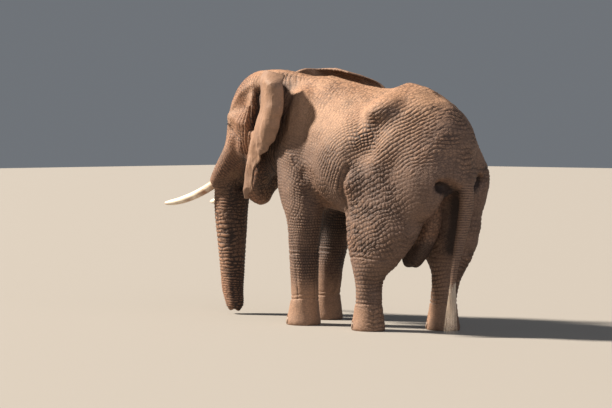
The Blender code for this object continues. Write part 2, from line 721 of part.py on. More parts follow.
low = Vector((1e9, 1e9, 1e9))
high = -low
for thing in nodes:
    for vertex in thing.data.vertices:
        for k in range(3):
            low[k] = min(low[k], vertex.co[k])
            high[k] = max(high[k], vertex.co[k])
shift = Vector((-(low[0] + high[0]) / 2.0, -(low[1] + high[1]) / 2.0, -low[2]))
print("shift", [round(v, 4) for v in shift], "size", [round(high[k] - low[k], 3) for k in range(3)])


def colour_of(name):
    if "tusk" in name:
        return (0.72, 0.64, 0.50, 1.0), 0.35
    if "eye" in name:
        return (0.05, 0.025, 0.012, 1.0), 0.08
    if "nail" in name:
        return (0.38, 0.30, 0.22, 1.0), 0.5
    return (0.30, 0.205, 0.155, 1.0), 0.85


for thing in nodes:
    thing.data.transform(Matrix.Translation(shift))
    thing.data.name = thing.name
    thing.data.materials.clear()
    material = bpy.data.materials.new(thing.name)
    material.use_nodes = True
    shader = material.node_tree.nodes["Principled BSDF"]
    colour, rough = colour_of(thing.name)
    shader.inputs["Base Color"].default_value = colour
    shader.inputs["Roughness"].default_value = rough
    material.diffuse_color = colour
    thing.data.materials.append(material)
    for polygon in thing.data.polygons:
        polygon.use_smooth = True
    thing.data.update()
total = sum(len(thing.data.polygons) for thing in nodes)
print("nodes", len(nodes), "triangles", total)
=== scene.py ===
# %% [markdown]
# # A bull African savanna elephant, life size
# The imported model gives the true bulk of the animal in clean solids, one for each part a person
# would name. This lesson turns it into a museum figure: one skin without seams, folded and creased
# as the real hide is, with ivory tusks, glossy eyes, horny toenails and the few hairs it carries.

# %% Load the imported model
import math

import bmesh
import bpy
import numpy as np
from mathutils import Euler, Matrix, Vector
from mathutils.bvhtree import BVHTree
from mathutils.kdtree import KDTree


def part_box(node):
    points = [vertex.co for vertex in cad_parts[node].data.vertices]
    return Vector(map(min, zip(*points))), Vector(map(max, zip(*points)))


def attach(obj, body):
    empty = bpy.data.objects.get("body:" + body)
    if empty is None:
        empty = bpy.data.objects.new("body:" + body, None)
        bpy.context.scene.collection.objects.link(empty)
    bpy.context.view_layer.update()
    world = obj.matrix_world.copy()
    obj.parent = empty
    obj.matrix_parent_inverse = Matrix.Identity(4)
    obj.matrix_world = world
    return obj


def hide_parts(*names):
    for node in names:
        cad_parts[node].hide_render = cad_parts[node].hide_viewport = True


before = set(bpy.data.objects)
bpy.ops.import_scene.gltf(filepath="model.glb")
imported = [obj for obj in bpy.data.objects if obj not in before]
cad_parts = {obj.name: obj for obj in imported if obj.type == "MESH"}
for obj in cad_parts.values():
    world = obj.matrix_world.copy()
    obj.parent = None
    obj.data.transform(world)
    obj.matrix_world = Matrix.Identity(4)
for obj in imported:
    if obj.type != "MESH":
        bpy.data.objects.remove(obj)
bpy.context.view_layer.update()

# %% [markdown]
# ## The camera
# The animal is seen from behind its left hip, from far off and from about the height of its back,
# so the lens is long and the lines hardly draw together. The camera comes first: all that follows
# is judged through it.

# %% Camera
def placed(name, data):
    """A new object in the scene."""
    made = bpy.data.objects.new(name, data)
    bpy.context.scene.collection.objects.link(made)
    return made


camera = placed("camera", bpy.data.cameras.new("camera"))
bpy.context.scene.camera = camera
camera.location = (18.304, -18.567, 2.5)
camera.rotation_euler = Euler((math.radians(87.9), 0.0, math.radians(45.0)))
camera.data.lens = 117.6
camera.data.sensor_width = 36.0
camera.data.clip_end = 300.0
print("camera at", [round(v, 2) for v in camera.location])

# %% [markdown]
# ## Studio floor and light
# A tan floor carries the figure. One warm distant lamp stands high ahead of the animal, to its left,
# and grazes the flank, so that every crease draws a shadow. A weak cool lamp from behind opens the
# shade on the rump, and the studio walls fill the rest. Distant lamps light the whole floor alike.

# %% Floor and light
def material(name, roughness):
    """A new material, with its node tree and its main shader."""
    made = bpy.data.materials.new(name)
    made.use_nodes = True
    shader = made.node_tree.nodes["Principled BSDF"]
    shader.inputs["Roughness"].default_value = roughness
    return made, made.node_tree, shader


def lamp(name, towards, softness, power, colour):
    """A distant lamp; towards points from the object to the lamp, softness is how wide it looks."""
    data = bpy.data.lights.new(name, "SUN")
    data.angle = math.radians(softness)
    data.energy = power
    data.color = colour
    placed(name, data).rotation_euler = Vector(towards).to_track_quat("Z", "Y").to_euler()


FLOOR_HALF = 90
floor = placed("floor", bpy.data.meshes.new("floor"))
floor_corners = [(FLOOR_HALF * i, FLOOR_HALF * j, 0) for i, j in ((-1, -1), (1, -1), (1, 1), (-1, 1))]
floor.data.from_pydata(floor_corners, [], [(0, 1, 2, 3)])
floor_paint, _, shader = material("floor_paint", 0.85)
shader.inputs["Base Color"].default_value = (0.26, 0.24, 0.215, 1.0)
floor.data.materials.append(floor_paint)

world = bpy.data.worlds.new("studio")
bpy.context.scene.world = world
world.use_nodes = True
studio_walls = world.node_tree.nodes["Background"].inputs
studio_walls["Color"].default_value = (0.84, 0.91, 1.0, 1.0)
studio_walls["Strength"].default_value = 0.19
lamp("key", (-0.64, -0.42, 0.64), 6.0, 11.6, (1.0, 0.905, 0.785))
lamp("fill", (0.85, -0.25, 0.42), 60.0, 1.0, (0.90, 0.92, 1.0))
bpy.context.scene.view_settings.view_transform = "Standard"
print("floor", 2 * FLOOR_HALF, "m square")

# %% [markdown]
# ## Working on points in bulk
# The skin has several hundred thousand points, too many to visit one by one. Every shape below is
# therefore a sum over whole arrays of points: read the mesh, work out a height for each point, and
# move all of them along their normals at once.

# %% Reading and building meshes
def column(items, field, wide=1, kind=np.int32):
    """One field of all the items of a mesh, as an array."""
    out = np.empty(len(items) * wide, kind)
    items.foreach_get(field, out)
    return out


def places_of(mesh):
    return column(mesh.vertices, "co", 3, np.float32).reshape(-1, 3).astype(np.float64)


def drop(thing):
    data = thing.data
    bpy.data.objects.remove(thing)
    bpy.data.meshes.remove(data)


def read(thing):
    """Points and four-cornered faces of an object, as arrays; the object goes."""
    points, faces = places_of(thing.data), column(thing.data.loops, "vertex_index").reshape(-1, 4)
    drop(thing)
    return points, faces


def build(name, points, faces):
    """An object from arrays of points and of faces with equal numbers of corners."""
    mesh = bpy.data.meshes.new(name)
    faces = np.asarray(faces, np.int32)
    mesh.vertices.add(len(points))
    mesh.vertices.foreach_set("co", np.asarray(points, np.float32).ravel())
    mesh.loops.add(faces.size)
    mesh.loops.foreach_set("vertex_index", faces.ravel())
    mesh.polygons.add(len(faces))
    mesh.polygons.foreach_set("loop_start", np.arange(0, faces.size, faces.shape[1], dtype=np.int32))
    mesh.update(calc_edges=True)
    mesh.validate()
    return placed(name, mesh)


def form_of(mesh):
    """An editable copy of a mesh."""
    form = bmesh.new()
    form.from_mesh(mesh)
    return form


def settle(form, thing):
    """Writes an edited form into the mesh of thing."""
    form.to_mesh(thing.data)
    form.free()
    return thing


def closed(thing):
    """Closes what is open in a mesh and turns its faces outward."""
    form = form_of(thing.data)
    bmesh.ops.holes_fill(form, edges=[edge for edge in form.edges if edge.is_boundary], sides=0)
    bmesh.ops.recalc_face_normals(form, faces=form.faces)
    return settle(form, thing)


def with_modifier(thing, kind, **settings):
    """The mesh of thing after one modifier, as a new object; thing itself goes."""
    modifier = thing.modifiers.new(kind, kind)
    for field, value in settings.items():
        setattr(modifier, field, value)
    shaped = thing.evaluated_get(bpy.context.evaluated_depsgraph_get())
    mesh = bpy.data.meshes.new_from_object(shaped)
    name = thing.name
    drop(thing)
    return placed(name, mesh)


def joined(name, things):
    """Several objects as one; the originals go."""
    for thing in things:
        thing.data.materials.clear()
    with bpy.context.temp_override(
        active_object=things[0], selected_editable_objects=things, selected_objects=things
    ):
        bpy.ops.object.join()
    things[0].name = name
    return things[0]


# %% [markdown]
# ## Two ways to calm a surface
# Melting builds a mesh up again from small cubes, which joins all its shells into one closed skin.
# Relaxing lets each point drift towards the mean of its neighbours and then a little further back,
# so that steps and ripples fade while the bulk stays.

# %% Relaxing meshes
def edges_of(faces):
    """Each edge once, as pairs of points."""
    pairs = np.concatenate([faces[:, (k, (k + 1) % 4)] for k in range(4)])
    pairs.sort(axis=1)
    keys = np.unique(pairs[:, 0].astype(np.int64) << 32 | pairs[:, 1])
    return np.stack((keys >> 32, keys & 0xFFFFFFFF), axis=1)


def spread(values, edges):
    """The mean of each point's neighbours."""
    if values.ndim > 1:
        return np.stack([spread(line, edges) for line in values.T], axis=1)
    a, b = edges.T
    count = len(values)
    share = np.bincount(a, minlength=count) + np.bincount(b, minlength=count)
    total = np.bincount(a, values[b], count) + np.bincount(b, values[a], count)
    return total / np.maximum(share, 1)


def relax(points, edges, rounds, push=0.6, pull=-0.62):
    """Smooths without shrinking: each round moves the points in, then a little further back out."""
    a, b = edges.T
    count = len(points)
    share = 1.0 / np.maximum(np.bincount(a, minlength=count) + np.bincount(b, minlength=count), 1)
    lines = [points[:, k].copy() for k in range(3)]
    for _ in range(rounds):
        for step in (push, pull):
            for k in range(3):
                line = lines[k]
                mean = (np.bincount(a, line[b], count) + np.bincount(b, line[a], count)) * share
                lines[k] = line + step * (mean - line)
    return np.stack(lines, axis=1)


def melted(thing, voxel, rounds):
    """The points, faces and edges of thing as one closed surface of even squares, relaxed."""
    points, faces = read(with_modifier(thing, "REMESH", mode="VOXEL", voxel_size=voxel))
    edges = edges_of(faces)
    return relax(points, edges, rounds), faces, edges


def unit(ways):
    """Vectors brought to length 1."""
    return ways / np.maximum(np.linalg.norm(ways, axis=-1, keepdims=True), 1e-12)


def normals_of(points, faces):
    """Outward direction at each point."""
    a, b, c, d = (points[faces[:, k]] for k in range(4))
    across = np.cross(c - a, d - b)
    total = np.zeros_like(points)
    for corner in range(4):
        for k in range(3):
            total[:, k] += np.bincount(faces[:, corner], across[:, k], len(points))
    return unit(total)


# %% [markdown]
# ## The bulk of the body
# The solids are parted by thin cuts and built from flat facets. Swelling each one by a millimetre
# and a half closes the cuts, a coarse remesh melts them into one closed surface, and a long gentle
# smoothing removes the facets while the bulk stays. Strings of balls are melted in where the solids
# only hint at a form: the fold between the thighs, the pad over the tail root and the nape. Then
# the haunch is rounded off and the hollows are pressed in.
# The ears and the tail are left out of this: they are thin, and a coarse remesh would eat them. The
# tail is rounded by subdivision, and its flesh ends at knee height: the rest is hair, made later.

# %% Copies of the solids and strings of balls
COARSE = 0.025
FINE = 0.0088
SWELL = 0.0015
FACETS_GONE = 200
EARS = ("left_ear", "right_ear")
EYES = ("left_eye", "right_eye")
SEPARATE = ("tusk", "eye", "nail")
flesh = [name for name in sorted(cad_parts) if not any(word in name for word in SEPARATE)]


def swollen(name, amount):
    """A copy of a solid, pushed out evenly."""
    form = form_of(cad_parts[name].data)
    bmesh.ops.remove_doubles(form, verts=form.verts, dist=1e-5)
    bmesh.ops.triangulate(form, faces=form.faces)
    form.normal_update()
    for vert in form.verts:
        vert.co += vert.normal * amount
    return settle(form, placed(name + "_copy", bpy.data.meshes.new(name + "_copy")))


BALLS_A_SPAN = 6


def limb(name, beads):
    """A string of balls, each (x, y, z, radius), close enough to melt into one rounded form."""
    form = bmesh.new()
    for a, b in zip(beads[:-1], beads[1:]):
        for t in np.linspace(0.0, 1.0, BALLS_A_SPAN):
            bead = (1.0 - t) * np.array(a) + t * np.array(b)
            made = bmesh.ops.create_icosphere(form, subdivisions=3, radius=float(bead[3]))
            bmesh.ops.translate(form, verts=made["verts"], vec=Vector(bead[:3]))
    return settle(form, placed(name, bpy.data.meshes.new(name)))


FOLD = ((2.02, -0.02, 1.78, 0.11), (1.98, -0.02, 1.58, 0.12), (1.95, -0.02, 1.36, 0.12),
        (1.87, -0.01, 1.18, 0.115), (1.78, 0.00, 1.02, 0.105), (1.67, 0.00, 0.875, 0.085))
PAD = ((2.41, -0.19, 2.00, 0.09), (2.44, -0.13, 1.90, 0.09), (2.455, -0.05, 1.83, 0.08),
       (2.455, 0.05, 1.83, 0.08), (2.44, 0.13, 1.90, 0.09), (2.41, 0.19, 2.00, 0.09))
NAPE = ((-1.02, 0.0, 3.09, 0.22), (-0.80, 0.0, 3.075, 0.24), (-0.60, 0.0, 3.06, 0.24),
        (-0.40, 0.0, 3.03, 0.235), (-0.20, 0.0, 2.995, 0.23), (0.0, 0.0, 2.98, 0.23))
bulk = joined("bulk", [swollen(name, SWELL) for name in flesh if name not in EARS + ("tail",)]
              + [limb("fold", FOLD), limb("pad", PAD), limb("nape", NAPE)])
points, faces, edges = melted(bulk, COARSE, FACETS_GONE)
print("melted bulk of", len(points), "points")

# %% Rounding the haunch and pressing the hollows
FAR = 9.0


def to_line(place, line):
    """Distance of each place from a line of points."""
    line = np.asarray(line, float)
    best = np.full(len(place), FAR)
    for a, b in zip(line[:-1], line[1:]):
        span = b - a
        t = np.clip((place - a) @ span / (span @ span), 0.0, 1.0)
        best = np.minimum(best, np.linalg.norm(place - a - t[:, None] * span, axis=1))
    return best


def rise(value, start, end):
    """0 before start, 1 after end, with an even slope between."""
    t = np.clip((value - start) / (end - start), 0.0, 1.0)
    return t * t * (3.0 - 2.0 * t)


def bell(value):
    """1 at 0, fading away on both sides."""
    return np.exp(-(value**2))


# the haunch narrows backwards, most on the left where the leg stands ahead
x, y, z = points.T
level = rise(z, 1.15, 1.60) * rise(z, 2.85, 2.55) * rise(x, 1.60, 2.40)
y += 0.11 * level * rise(-y, 0.20, 0.60)
# and turns into the rump without an edge
HAUNCH_EDGE = ((2.16, 0.36, 2.64), (2.28, 0.47, 2.32), (2.36, 0.50, 2.02), (2.36, 0.50, 1.78))
EDGE_GONE = 240
soft = to_line(np.stack((x, np.abs(y), z), axis=1), HAUNCH_EDGE)
soft = (bell(soft / 0.22) * (1.0 - 0.8 * rise(y, -0.1, 0.3)))[:, None]
for _ in range(EDGE_GONE):
    points += 0.5 * soft * (spread(points, edges) - points)
for line, width, push in (
    # the hollows under the pad, on the left and on the right of the tail
    (((2.45, -0.15, 1.73), (2.46, -0.26, 1.80), (2.45, -0.38, 1.82)), 0.062, (-0.15, 0.02, 0.02)),
    (((2.45, 0.16, 1.73), (2.46, 0.31, 1.87)), 0.058, (-0.13, -0.02, 0.0)),
    # the flanks swell out under the hip bones
    (((1.50, -0.57, 2.67), (1.38, -0.60, 2.40)), 0.13, (-0.01, -0.050, -0.005)),
    (((1.50, 0.57, 2.67), (1.38, 0.60, 2.40)), 0.13, (-0.01, 0.050, -0.005)),
):
    points = points + bell(to_line(points, line) / width)[:, None] * np.asarray(push)
bulk = with_modifier(build("bulk", relax(points, edges, 12), faces), "SUBSURF", levels=1)
tail_form = with_modifier(swollen("tail", 0.005), "SUBSURF", levels=2)
TAIL_END = 0.56
TAIL_BLUNT = 0.16
for vert in tail_form.data.vertices:
    if vert.co.z < TAIL_END:
        vert.co.z = TAIL_END - TAIL_BLUNT * (TAIL_END - vert.co.z)
print("body of", len(bulk.data.vertices), "points before the ears and the tail are added")

# %% [markdown]
# ## The ears
# An ear is a sheet of skin and gristle two or three centimetres thick, broad as a table top. It
# grows from a thick root behind the temple and swells outward. Its lower corner is drawn out to a
# lobe that hangs in flutes. The left ear stands away from the neck and its rear edge rolls in like
# a scroll; the right one lies flatter, with its rear margin curled back a little. The sheet is laid
# out in rows from the lobe to the rim and rounded at its edge, on a grid fine enough for the folds.

# %% Ear sheets
# each row: height, where it starts and ends outward from the root, its turn, and its root's place
EAR_ROWS = (
    ("lobe_point", 1.60, 0.00, 0.06, 0.0, -1.46, 0.45),
    ("lobe", 1.80, -0.05, 0.29, 0.0, -1.41, 0.45),
    ("lower", 2.05, -0.10, 0.39, -2.0, -1.36, 0.45),
    ("lower_edge", 2.27, -0.13, 0.72, -6.0, -1.33, 0.45),
    ("rear_corner", 2.46, -0.14, 1.08, -2.0, -1.29, 0.43),
    ("widest", 2.75, -0.14, 1.18, 0.0, -1.18, 0.38),
    ("upper", 3.00, -0.14, 1.17, 0.0, -1.18, 0.36),
    ("shoulder", 3.20, -0.14, 1.05, 0.0, -1.23, 0.34),
    ("rim", 3.34, -0.06, 0.74, 0.0, -1.27, 0.33),
)
LEFT_EAR = dict(side=-1, angle=44.5, wide=0.77, curling=0.0, rolling=135.0, flaring=-4.0, topping=-0.20,
                steep=0.36, belly=0.035, ahead=0.035, lowering=0.045)
RIGHT_EAR = dict(side=1, angle=27.0, wide=1.05, curling=0.045, rolling=0.0, flaring=0.0, topping=0.0,
                 steep=0.30, belly=0.075, ahead=0.0, lowering=0.0)
ROLL_RADIUS = 0.11
EAR_SHIFT = (0.478, 0.0092)
EAR_THICKNESS = 0.022
LINES, COLUMNS = 104, 100


def through(rows, count):
    """Named rows run through by a smooth curve and returned as count even steps."""
    knots = np.array([row[1:] for row in rows], dtype=float)
    knots = np.vstack((2 * knots[0] - knots[1], knots, 2 * knots[-1] - knots[-2]))
    out = []
    for step in np.linspace(0.0, len(knots) - 3 - 1e-9, count):
        k = int(step)
        t = step - k
        a, b, c, d = knots[k : k + 4]
        out.append(0.5 * (2 * b + (c - a) * t + (2 * a - 5 * b + 4 * c - d) * t**2
                          + (3 * b - a - 3 * c + d) * t**3))
    return np.array(out)


def ear_middle(side, angle, wide, curling, rolling, flaring, topping, steep, belly, ahead, lowering):
    """The sheet's middle surface, and how far each place on it is from the sheet's edge and root."""
    table = through(EAR_ROWS, LINES)
    height, start, end, bend, root_x, root_y = (table[:, k : k + 1] for k in range(6))
    level = (height - height[0]) / (height[-1] - height[0])
    share = np.linspace(0.0, 1.0, COLUMNS)[None, :]
    flare = flaring * rise(level, 0.10, 0.30) * rise(level, 0.62, 0.48)
    turn = np.radians(angle + bend + flare)
    nicks = 0.022 * np.sin(31.0 * level + 1.3 * side) * np.sin(11.0 * level + 0.4) * rise(level, 0.75, 0.55)
    width = end * wide * (1.0 - topping * rise(level, 0.72, 1.0))
    reach = start + (width + nicks - start) * share
    out = belly * np.sin(np.pi * np.minimum(1.0, share * 1.25)) - 0.05 * share**3 + 0.0 * level
    # the lobe hangs in flutes, and two upright folds cross the sheet
    low = rise(level, 0.62, 0.20)
    out += 0.026 * np.sin(30.0 * reach + 1.5 * np.sin(5.0 * level + side)) * low * rise(share, 0.0, 0.25)
    out += 0.020 * bell((share - 0.52 + 0.12 * level) / 0.10) * rise(level, 0.1, 0.45)
    out -= 0.016 * bell((share - 0.36 + 0.10 * level) / 0.09) * rise(level, 0.1, 0.5)
    # the rear margin curls back
    curl = np.maximum(0.0, share - 0.76) / 0.24
    out -= curling * curl**1.6 * np.clip(3.0 * level - 0.5, 0.0, 1.0)
    # or rolls in like a scroll: what lies past the start of the roll is wound round it
    most = np.radians(rolling) * rise(level, 0.22, 0.55) * rise(level, 1.35, 0.92)
    past = np.maximum(0.0, reach - (reach[:, -1:] - ROLL_RADIUS * most))
    reach = reach - past + ROLL_RADIUS * np.sin(past / ROLL_RADIUS)
    out -= ROLL_RADIUS * (1.0 - np.cos(past / ROLL_RADIUS))
    # the upper rim leans over and falls towards the rear
    out -= 0.085 * (np.maximum(0.0, level - 0.88) / 0.12) ** 1.5
    fall = 0.11 * np.maximum(0.0, 1.0 - 3.5 * share) ** 2 + steep * np.maximum(0.0, share - 0.55) ** 2
    x = root_x + reach * np.cos(turn) - out * np.sin(turn)
    y = root_y + reach * np.sin(turn) + out * np.cos(turn)
    z = height - lowering * rise(level, 0.80, 1.0) - (fall + 0.01) * np.clip(5.0 * level - 4.0, 0.0, 1.0)
    middle = np.stack((x + EAR_SHIFT[0] + ahead, side * y + EAR_SHIFT[1], z), axis=2)
    edge_gap = np.minimum(np.minimum(1.0 - share, 2.0 * share + 0.02) * (end - start),
                          np.minimum(level * 1.7 + 0.004, (1.0 - level) * 1.7 + 0.004))
    return middle, edge_gap, share


def ear_sheet(name, laid):
    """A closed sheet: the middle surface thickened to both sides, thinner at its edge."""
    middle, edge_gap, share = ear_middle(**laid)
    normal = unit(np.cross(np.gradient(middle, axis=1), np.gradient(middle, axis=0)))
    round_off = np.sqrt(np.clip(edge_gap / 0.014, 0.12, 1.0))
    thick = (EAR_THICKNESS * round_off + 0.030 * np.maximum(0.0, 1.0 - 3.0 * share))[..., None] * 0.5
    layers = np.concatenate([(middle + way * normal * thick).reshape(-1, 3) for way in (1.0, -1.0)])
    grid = np.arange(LINES * COLUMNS).reshape(LINES, COLUMNS)
    front = np.stack((grid[:-1, :-1], grid[:-1, 1:], grid[1:, 1:], grid[1:, :-1]), axis=-1).reshape(-1, 4)
    loop = np.concatenate((grid[0, :-1], grid[:-1, -1], grid[-1, :0:-1], grid[:0:-1, 0]))
    after = np.roll(loop, -1)
    rim = np.stack((after, loop, loop + grid.size, after + grid.size), axis=1)
    return closed(build(name, layers, np.concatenate((front, front[:, ::-1] + grid.size, rim))))


ears = [ear_sheet("left_ear_sheet", LEFT_EAR), ear_sheet("right_ear_sheet", RIGHT_EAR)]
print("ear sheets of", len(ears[0].data.vertices), "points each")

# %% [markdown]
# ## One skin
# Body and ears go through a second, fine remesh, which makes one closed surface of even squares
# about a centimetre across: small enough for every crease a hand could lie in.

# %% Fine remesh
def tree_of(thing):
    return BVHTree.FromObject(thing, bpy.context.evaluated_depsgraph_get())


tail_tree = tree_of(tail_form)
ear_trees = [tree_of(sheet) for sheet in ears]
skin = joined("skin", [bulk, tail_form] + ears)
points, faces, edges = melted(skin, FINE, 6)
count = len(points)
normals = normals_of(points, faces)
print("skin of", count, "points and", len(faces), "squares")

# %% [markdown]
# ## Where is what
# Folds differ from place to place, so each point gets a share in each region of the hide, from 0 to
# 1, worked out from where it lies. The regions fade into each other and no border shows.

# %% Regions
x, y, z = points.T
nx, ny, nz = normals.T
sideways = np.abs(ny)
midline = float(sum((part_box("left_eye")[k].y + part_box("right_eye")[k].y) / 4 for k in (0, 1)))


MARGIN = 0.08
EAR_REACH = 0.022
SOFT_REACH = 0.05


def gaps(name, tree, reach):
    """Distance of each point from a part, as far as reach; FAR beyond it."""
    low, high = (np.array(corner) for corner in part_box(name))
    out = np.full(count, FAR)
    for i in np.nonzero(((points > low - MARGIN) & (points < high + MARGIN)).all(axis=1))[0]:
        gap = tree.find_nearest(points[i], reach)[3]
        if gap is not None:
            out[i] = gap
    return out


def near(name, reach, tree=None):
    """1 on a part of the body, fading to 0 where another runs on from it."""
    share = np.maximum(0.0, 1.0 - gaps(name, tree or tree_of(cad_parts[name]), reach) / reach)
    for _ in range(3):
        share = spread(share, edges)
    return np.clip(share * 1.25, 0.0, 1.0)


ear_left, ear_right = (near(name, EAR_REACH, tree) for name, tree in zip(EARS, ear_trees))
ear = np.maximum(ear_left, ear_right)
tail = near("tail", EAR_REACH, tail_tree)
fold = rise(to_line(points, [bead[:3] for bead in FOLD]), 0.17, 0.14)
sheath = np.maximum(near("sheath", SOFT_REACH), fold)
jaw = near("jaw", SOFT_REACH)
body = (1.0 - ear) * (1.0 - tail)
trunk = body * rise(x, -1.36, -1.46) * rise(z, 1.95, 1.70)
head = body * rise(x, -0.55, -0.75) * (1.0 - trunk)
legs = body * rise(z, 1.75, 1.25) * (1.0 - trunk) * (1.0 - head) * (1.0 - sheath)
fore = legs * rise(x, 0.66, 0.50)
hind = legs * rise(x, 0.66, 0.80)
torso = body * (1.0 - trunk) * (1.0 - head) * (1.0 - legs) * (1.0 - sheath)
neck = torso * rise(x, 0.05, -0.35)
print("share of the skin on the ears", round(float(ear.mean()), 3))

# %% [markdown]
# ## Noise that bends every pattern
# Nothing on a living hide is ruled. A smooth noise shifts the lines of each pattern and makes them
# deeper here and fainter there. The patterns themselves are few: nets of cells, long furrows, rows
# of bricks, and furrows crossed to diamonds.

# %% Noise and patterns
def scramble(i, j, k, seed):
    """A fixed number from 0 to 1 for each whole-numbered place."""
    h = np.int64(i) * 374761393 + np.int64(j) * 668265263 + np.int64(k) * 1440662683
    h = (h + seed * 974634777) & 0xFFFFFFFF
    h = ((h ^ (h >> 13)) * 1274126177) & 0xFFFFFFFF
    h = ((h ^ (h >> 16)) * 2246822519) & 0xFFFFFFFF
    return ((h ^ (h >> 15)) & 0xFFFFFF) / float(0xFFFFFF)


def noise(place, size, seed):
    """Smooth noise from -1 to 1 whose lumps are about size across."""
    base = np.floor(place / size)
    t = rise(place / size - base, 0.0, 1.0)
    total = np.zeros(len(place))
    for corner in np.ndindex(2, 2, 2):
        wi, wj, wk = np.where(corner, t, 1.0 - t).T
        total += wi * wj * wk * scramble(*(base + corner).T, seed)
    return 2.0 * total - 1.0


def cells(place, size, seed):
    """Pattern of irregular cells: 0 inside a cell, 1 in the crease between two."""
    q = place / np.asarray(size)
    base = np.floor(q)
    nearest = np.full(len(q), FAR)
    second = np.full(len(q), FAR)
    for step in np.ndindex(3, 3, 3):
        spot = (base + step - 1.0).T
        far = sum((spot[n] + 0.15 + 0.7 * scramble(*spot, seed + n) - q[:, n]) ** 2 for n in range(3))
        second = np.minimum(second, np.maximum(nearest, far))
        nearest = np.minimum(nearest, far)
    return np.clip(1.0 - (np.sqrt(second) - np.sqrt(nearest)) / 0.42, 0.0, 1.0) ** 1.3


def furrows(phase, sharp=3.0):
    """Long creases at each whole number of phase, with rounded hide between them."""
    return (0.5 + 0.5 * np.cos(2.0 * np.pi * phase)) ** sharp


def bricks(across, along, seed, joint):
    """Long creases joined by short ones, shifted from row to row."""
    shift = scramble(np.floor(across), 0, 0, seed) * 5.0
    return np.maximum(furrows(across, 2.2), joint * furrows(along + shift, 3.5))


def crossed(across, along, tilt, seed):
    """Two families of creases that lean both ways from the rows, as diamonds worn into the hide."""
    second = furrows(across - tilt * along + 0.37) * (0.6 + 0.4 * np.sin(7.0 * along + seed))
    return np.maximum(furrows(across + tilt * along), second)


big, middle, small, fine = (noise(points, size, seed)
                            for size, seed in ((0.55, 11), (0.22, 12), (0.09, 13), (0.045, 14)))
print("noise ready")

# %% [markdown]
# ## Bones and muscles under the hide
# A few broad forms carry the look of the animal: the hip bone and the hollow in front of it, the
# spine, the shoulder blade, the brow, the hollow of the temple and the fold in front of the thigh.
# Each is a soft stroke along a line of points that raises the skin or sinks it, and may paint shade
# along it. A line of two numbers a point is drawn on the animal's side, on both sides alike.
# Strokes of no height only paint shade: under the throat, between the thighs and in the hollows
# beside the tail.

# %% Strokes
height = np.zeros(count)
shade = np.zeros(count)
both_sides = np.stack((x, np.abs(y - midline), z), axis=1)


# the shade number is painted shade, which later darkens the hide colour
def darken(amount):
    shade[:] = np.maximum(shade, amount)


def stroke(width, lift, where, dark, *line, place=both_sides):
    """Raises or sinks the skin along a line; dark also paints shade along it."""
    place = place[:, ::2] if len(line[0]) == 2 else place
    bump = bell(to_line(place, line) / width) * where
    height[:] += lift * bump
    darken(dark * bump)


flank = torso * rise(sideways, 0.25, 0.6)
# hip bone, the hollow ahead of it, thigh muscle, last ribs
stroke(0.085, 0.022, torso, 0, (1.55, 2.97), (1.72, 2.90), (1.90, 2.90), (2.10, 2.80))
stroke(0.17, -0.014, flank, 0, (1.66, 2.76), (1.50, 2.55), (1.33, 2.30), (1.20, 2.08))
stroke(0.13, 0.012, flank, 0, (1.95, 2.74), (1.80, 2.45), (1.62, 2.15))
stroke(0.26, 0.018, flank, 0, (1.05, 2.55), (0.85, 2.30), (0.75, 2.0))
# fold in front of the thigh, with painted shade in it, and the thigh's front edge
stroke(0.050, -0.034, body, 0.3, (1.16, 2.02), (1.06, 1.82), (1.00, 1.55), (1.06, 1.25))
stroke(0.11, 0.020, body, 0, (1.30, 2.00), (1.22, 1.80), (1.17, 1.50), (1.20, 1.25))
# spine
stroke(0.045, 0.016, torso, 0, (0.2, 0.0, 3.16), (1.1, 0.0, 3.02), (1.6, 0.0, 3.07), (2.1, 0.0, 2.93),
       (2.45, 0.0, 2.5), (2.52, 0.0, 2.1))
# shoulder blade, the furrow behind it, and the fold behind the foreleg, with a little painted shade in the
# fold and its creases
stroke(0.10, 0.016, flank, 0, (-0.10, 3.00), (-0.02, 2.60), (0.05, 2.15))
stroke(0.09, -0.014, flank, 0, (0.26, 2.75), (0.30, 2.35), (0.28, 2.0))
stroke(0.07, -0.022, body, 0.1, (0.30, 1.95), (0.42, 1.70), (0.60, 1.50))
for place in (0.20, 0.27, 0.35):
    stroke(0.020, -0.004, body, 0.1, (place - 0.14, 2.15), (place, 1.90), (place + 0.16, 1.62))
# painted shade in the hollows beside the root of the tail
hollow_left = to_line(points, ((2.34, -0.14, 1.72), (2.33, -0.25, 1.79), (2.33, -0.33, 1.80)))
hollow_right = to_line(points, ((2.35, 0.15, 1.73), (2.35, 0.25, 1.81), (2.35, 0.31, 1.89)))
darken(1.35 * rise(np.minimum(hollow_left, hollow_right), 0.125, 0.050) * (1.0 - tail))
# shade under the throat, the chin and the root of the trunk
stroke(0.20, 0, 1.0 - ear, 0.95, (-0.66, 2.10), (-0.74, 1.90), (-0.86, 1.72))
stroke(0.17, 0, 1.0 - ear, 0.95, (-1.10, 2.06), (-1.24, 1.84))
stroke(0.15, 0, 1.0 - ear, 0.60, (-1.36, 2.02), (-1.52, 1.80))
# painted shade in the cleft between the thighs, to the right of the middle
for width, dark, *line in (
    (0.085, 1.6, (2.18, 0.17, 1.66), (2.12, 0.20, 1.36), (2.03, 0.24, 1.02)),
    (0.11, 1.5, (2.36, 0.04, 1.74), (2.26, 0.08, 1.62), (2.18, 0.12, 1.50)),
):
    stroke(width, -0.010, 1.0 - tail, dark, *line, place=points)
print("tallest form", round(float(height.max()), 4), "deepest", round(float(height.min()), 4))

# %% [markdown]
# ## The head
# The head is mostly bone: a high domed forehead, a brow ridge over the eye, a deep hollow at the
# temple in front of the ear, and the sheath of the tusk running down under the skin. Loose skin
# hangs over them in upright folds between the eye and the ear.

# %% Forms of the head
on_head = np.clip(head + 0.4 * neck * rise(x, -0.2, -0.5), 0.0, 1.0)
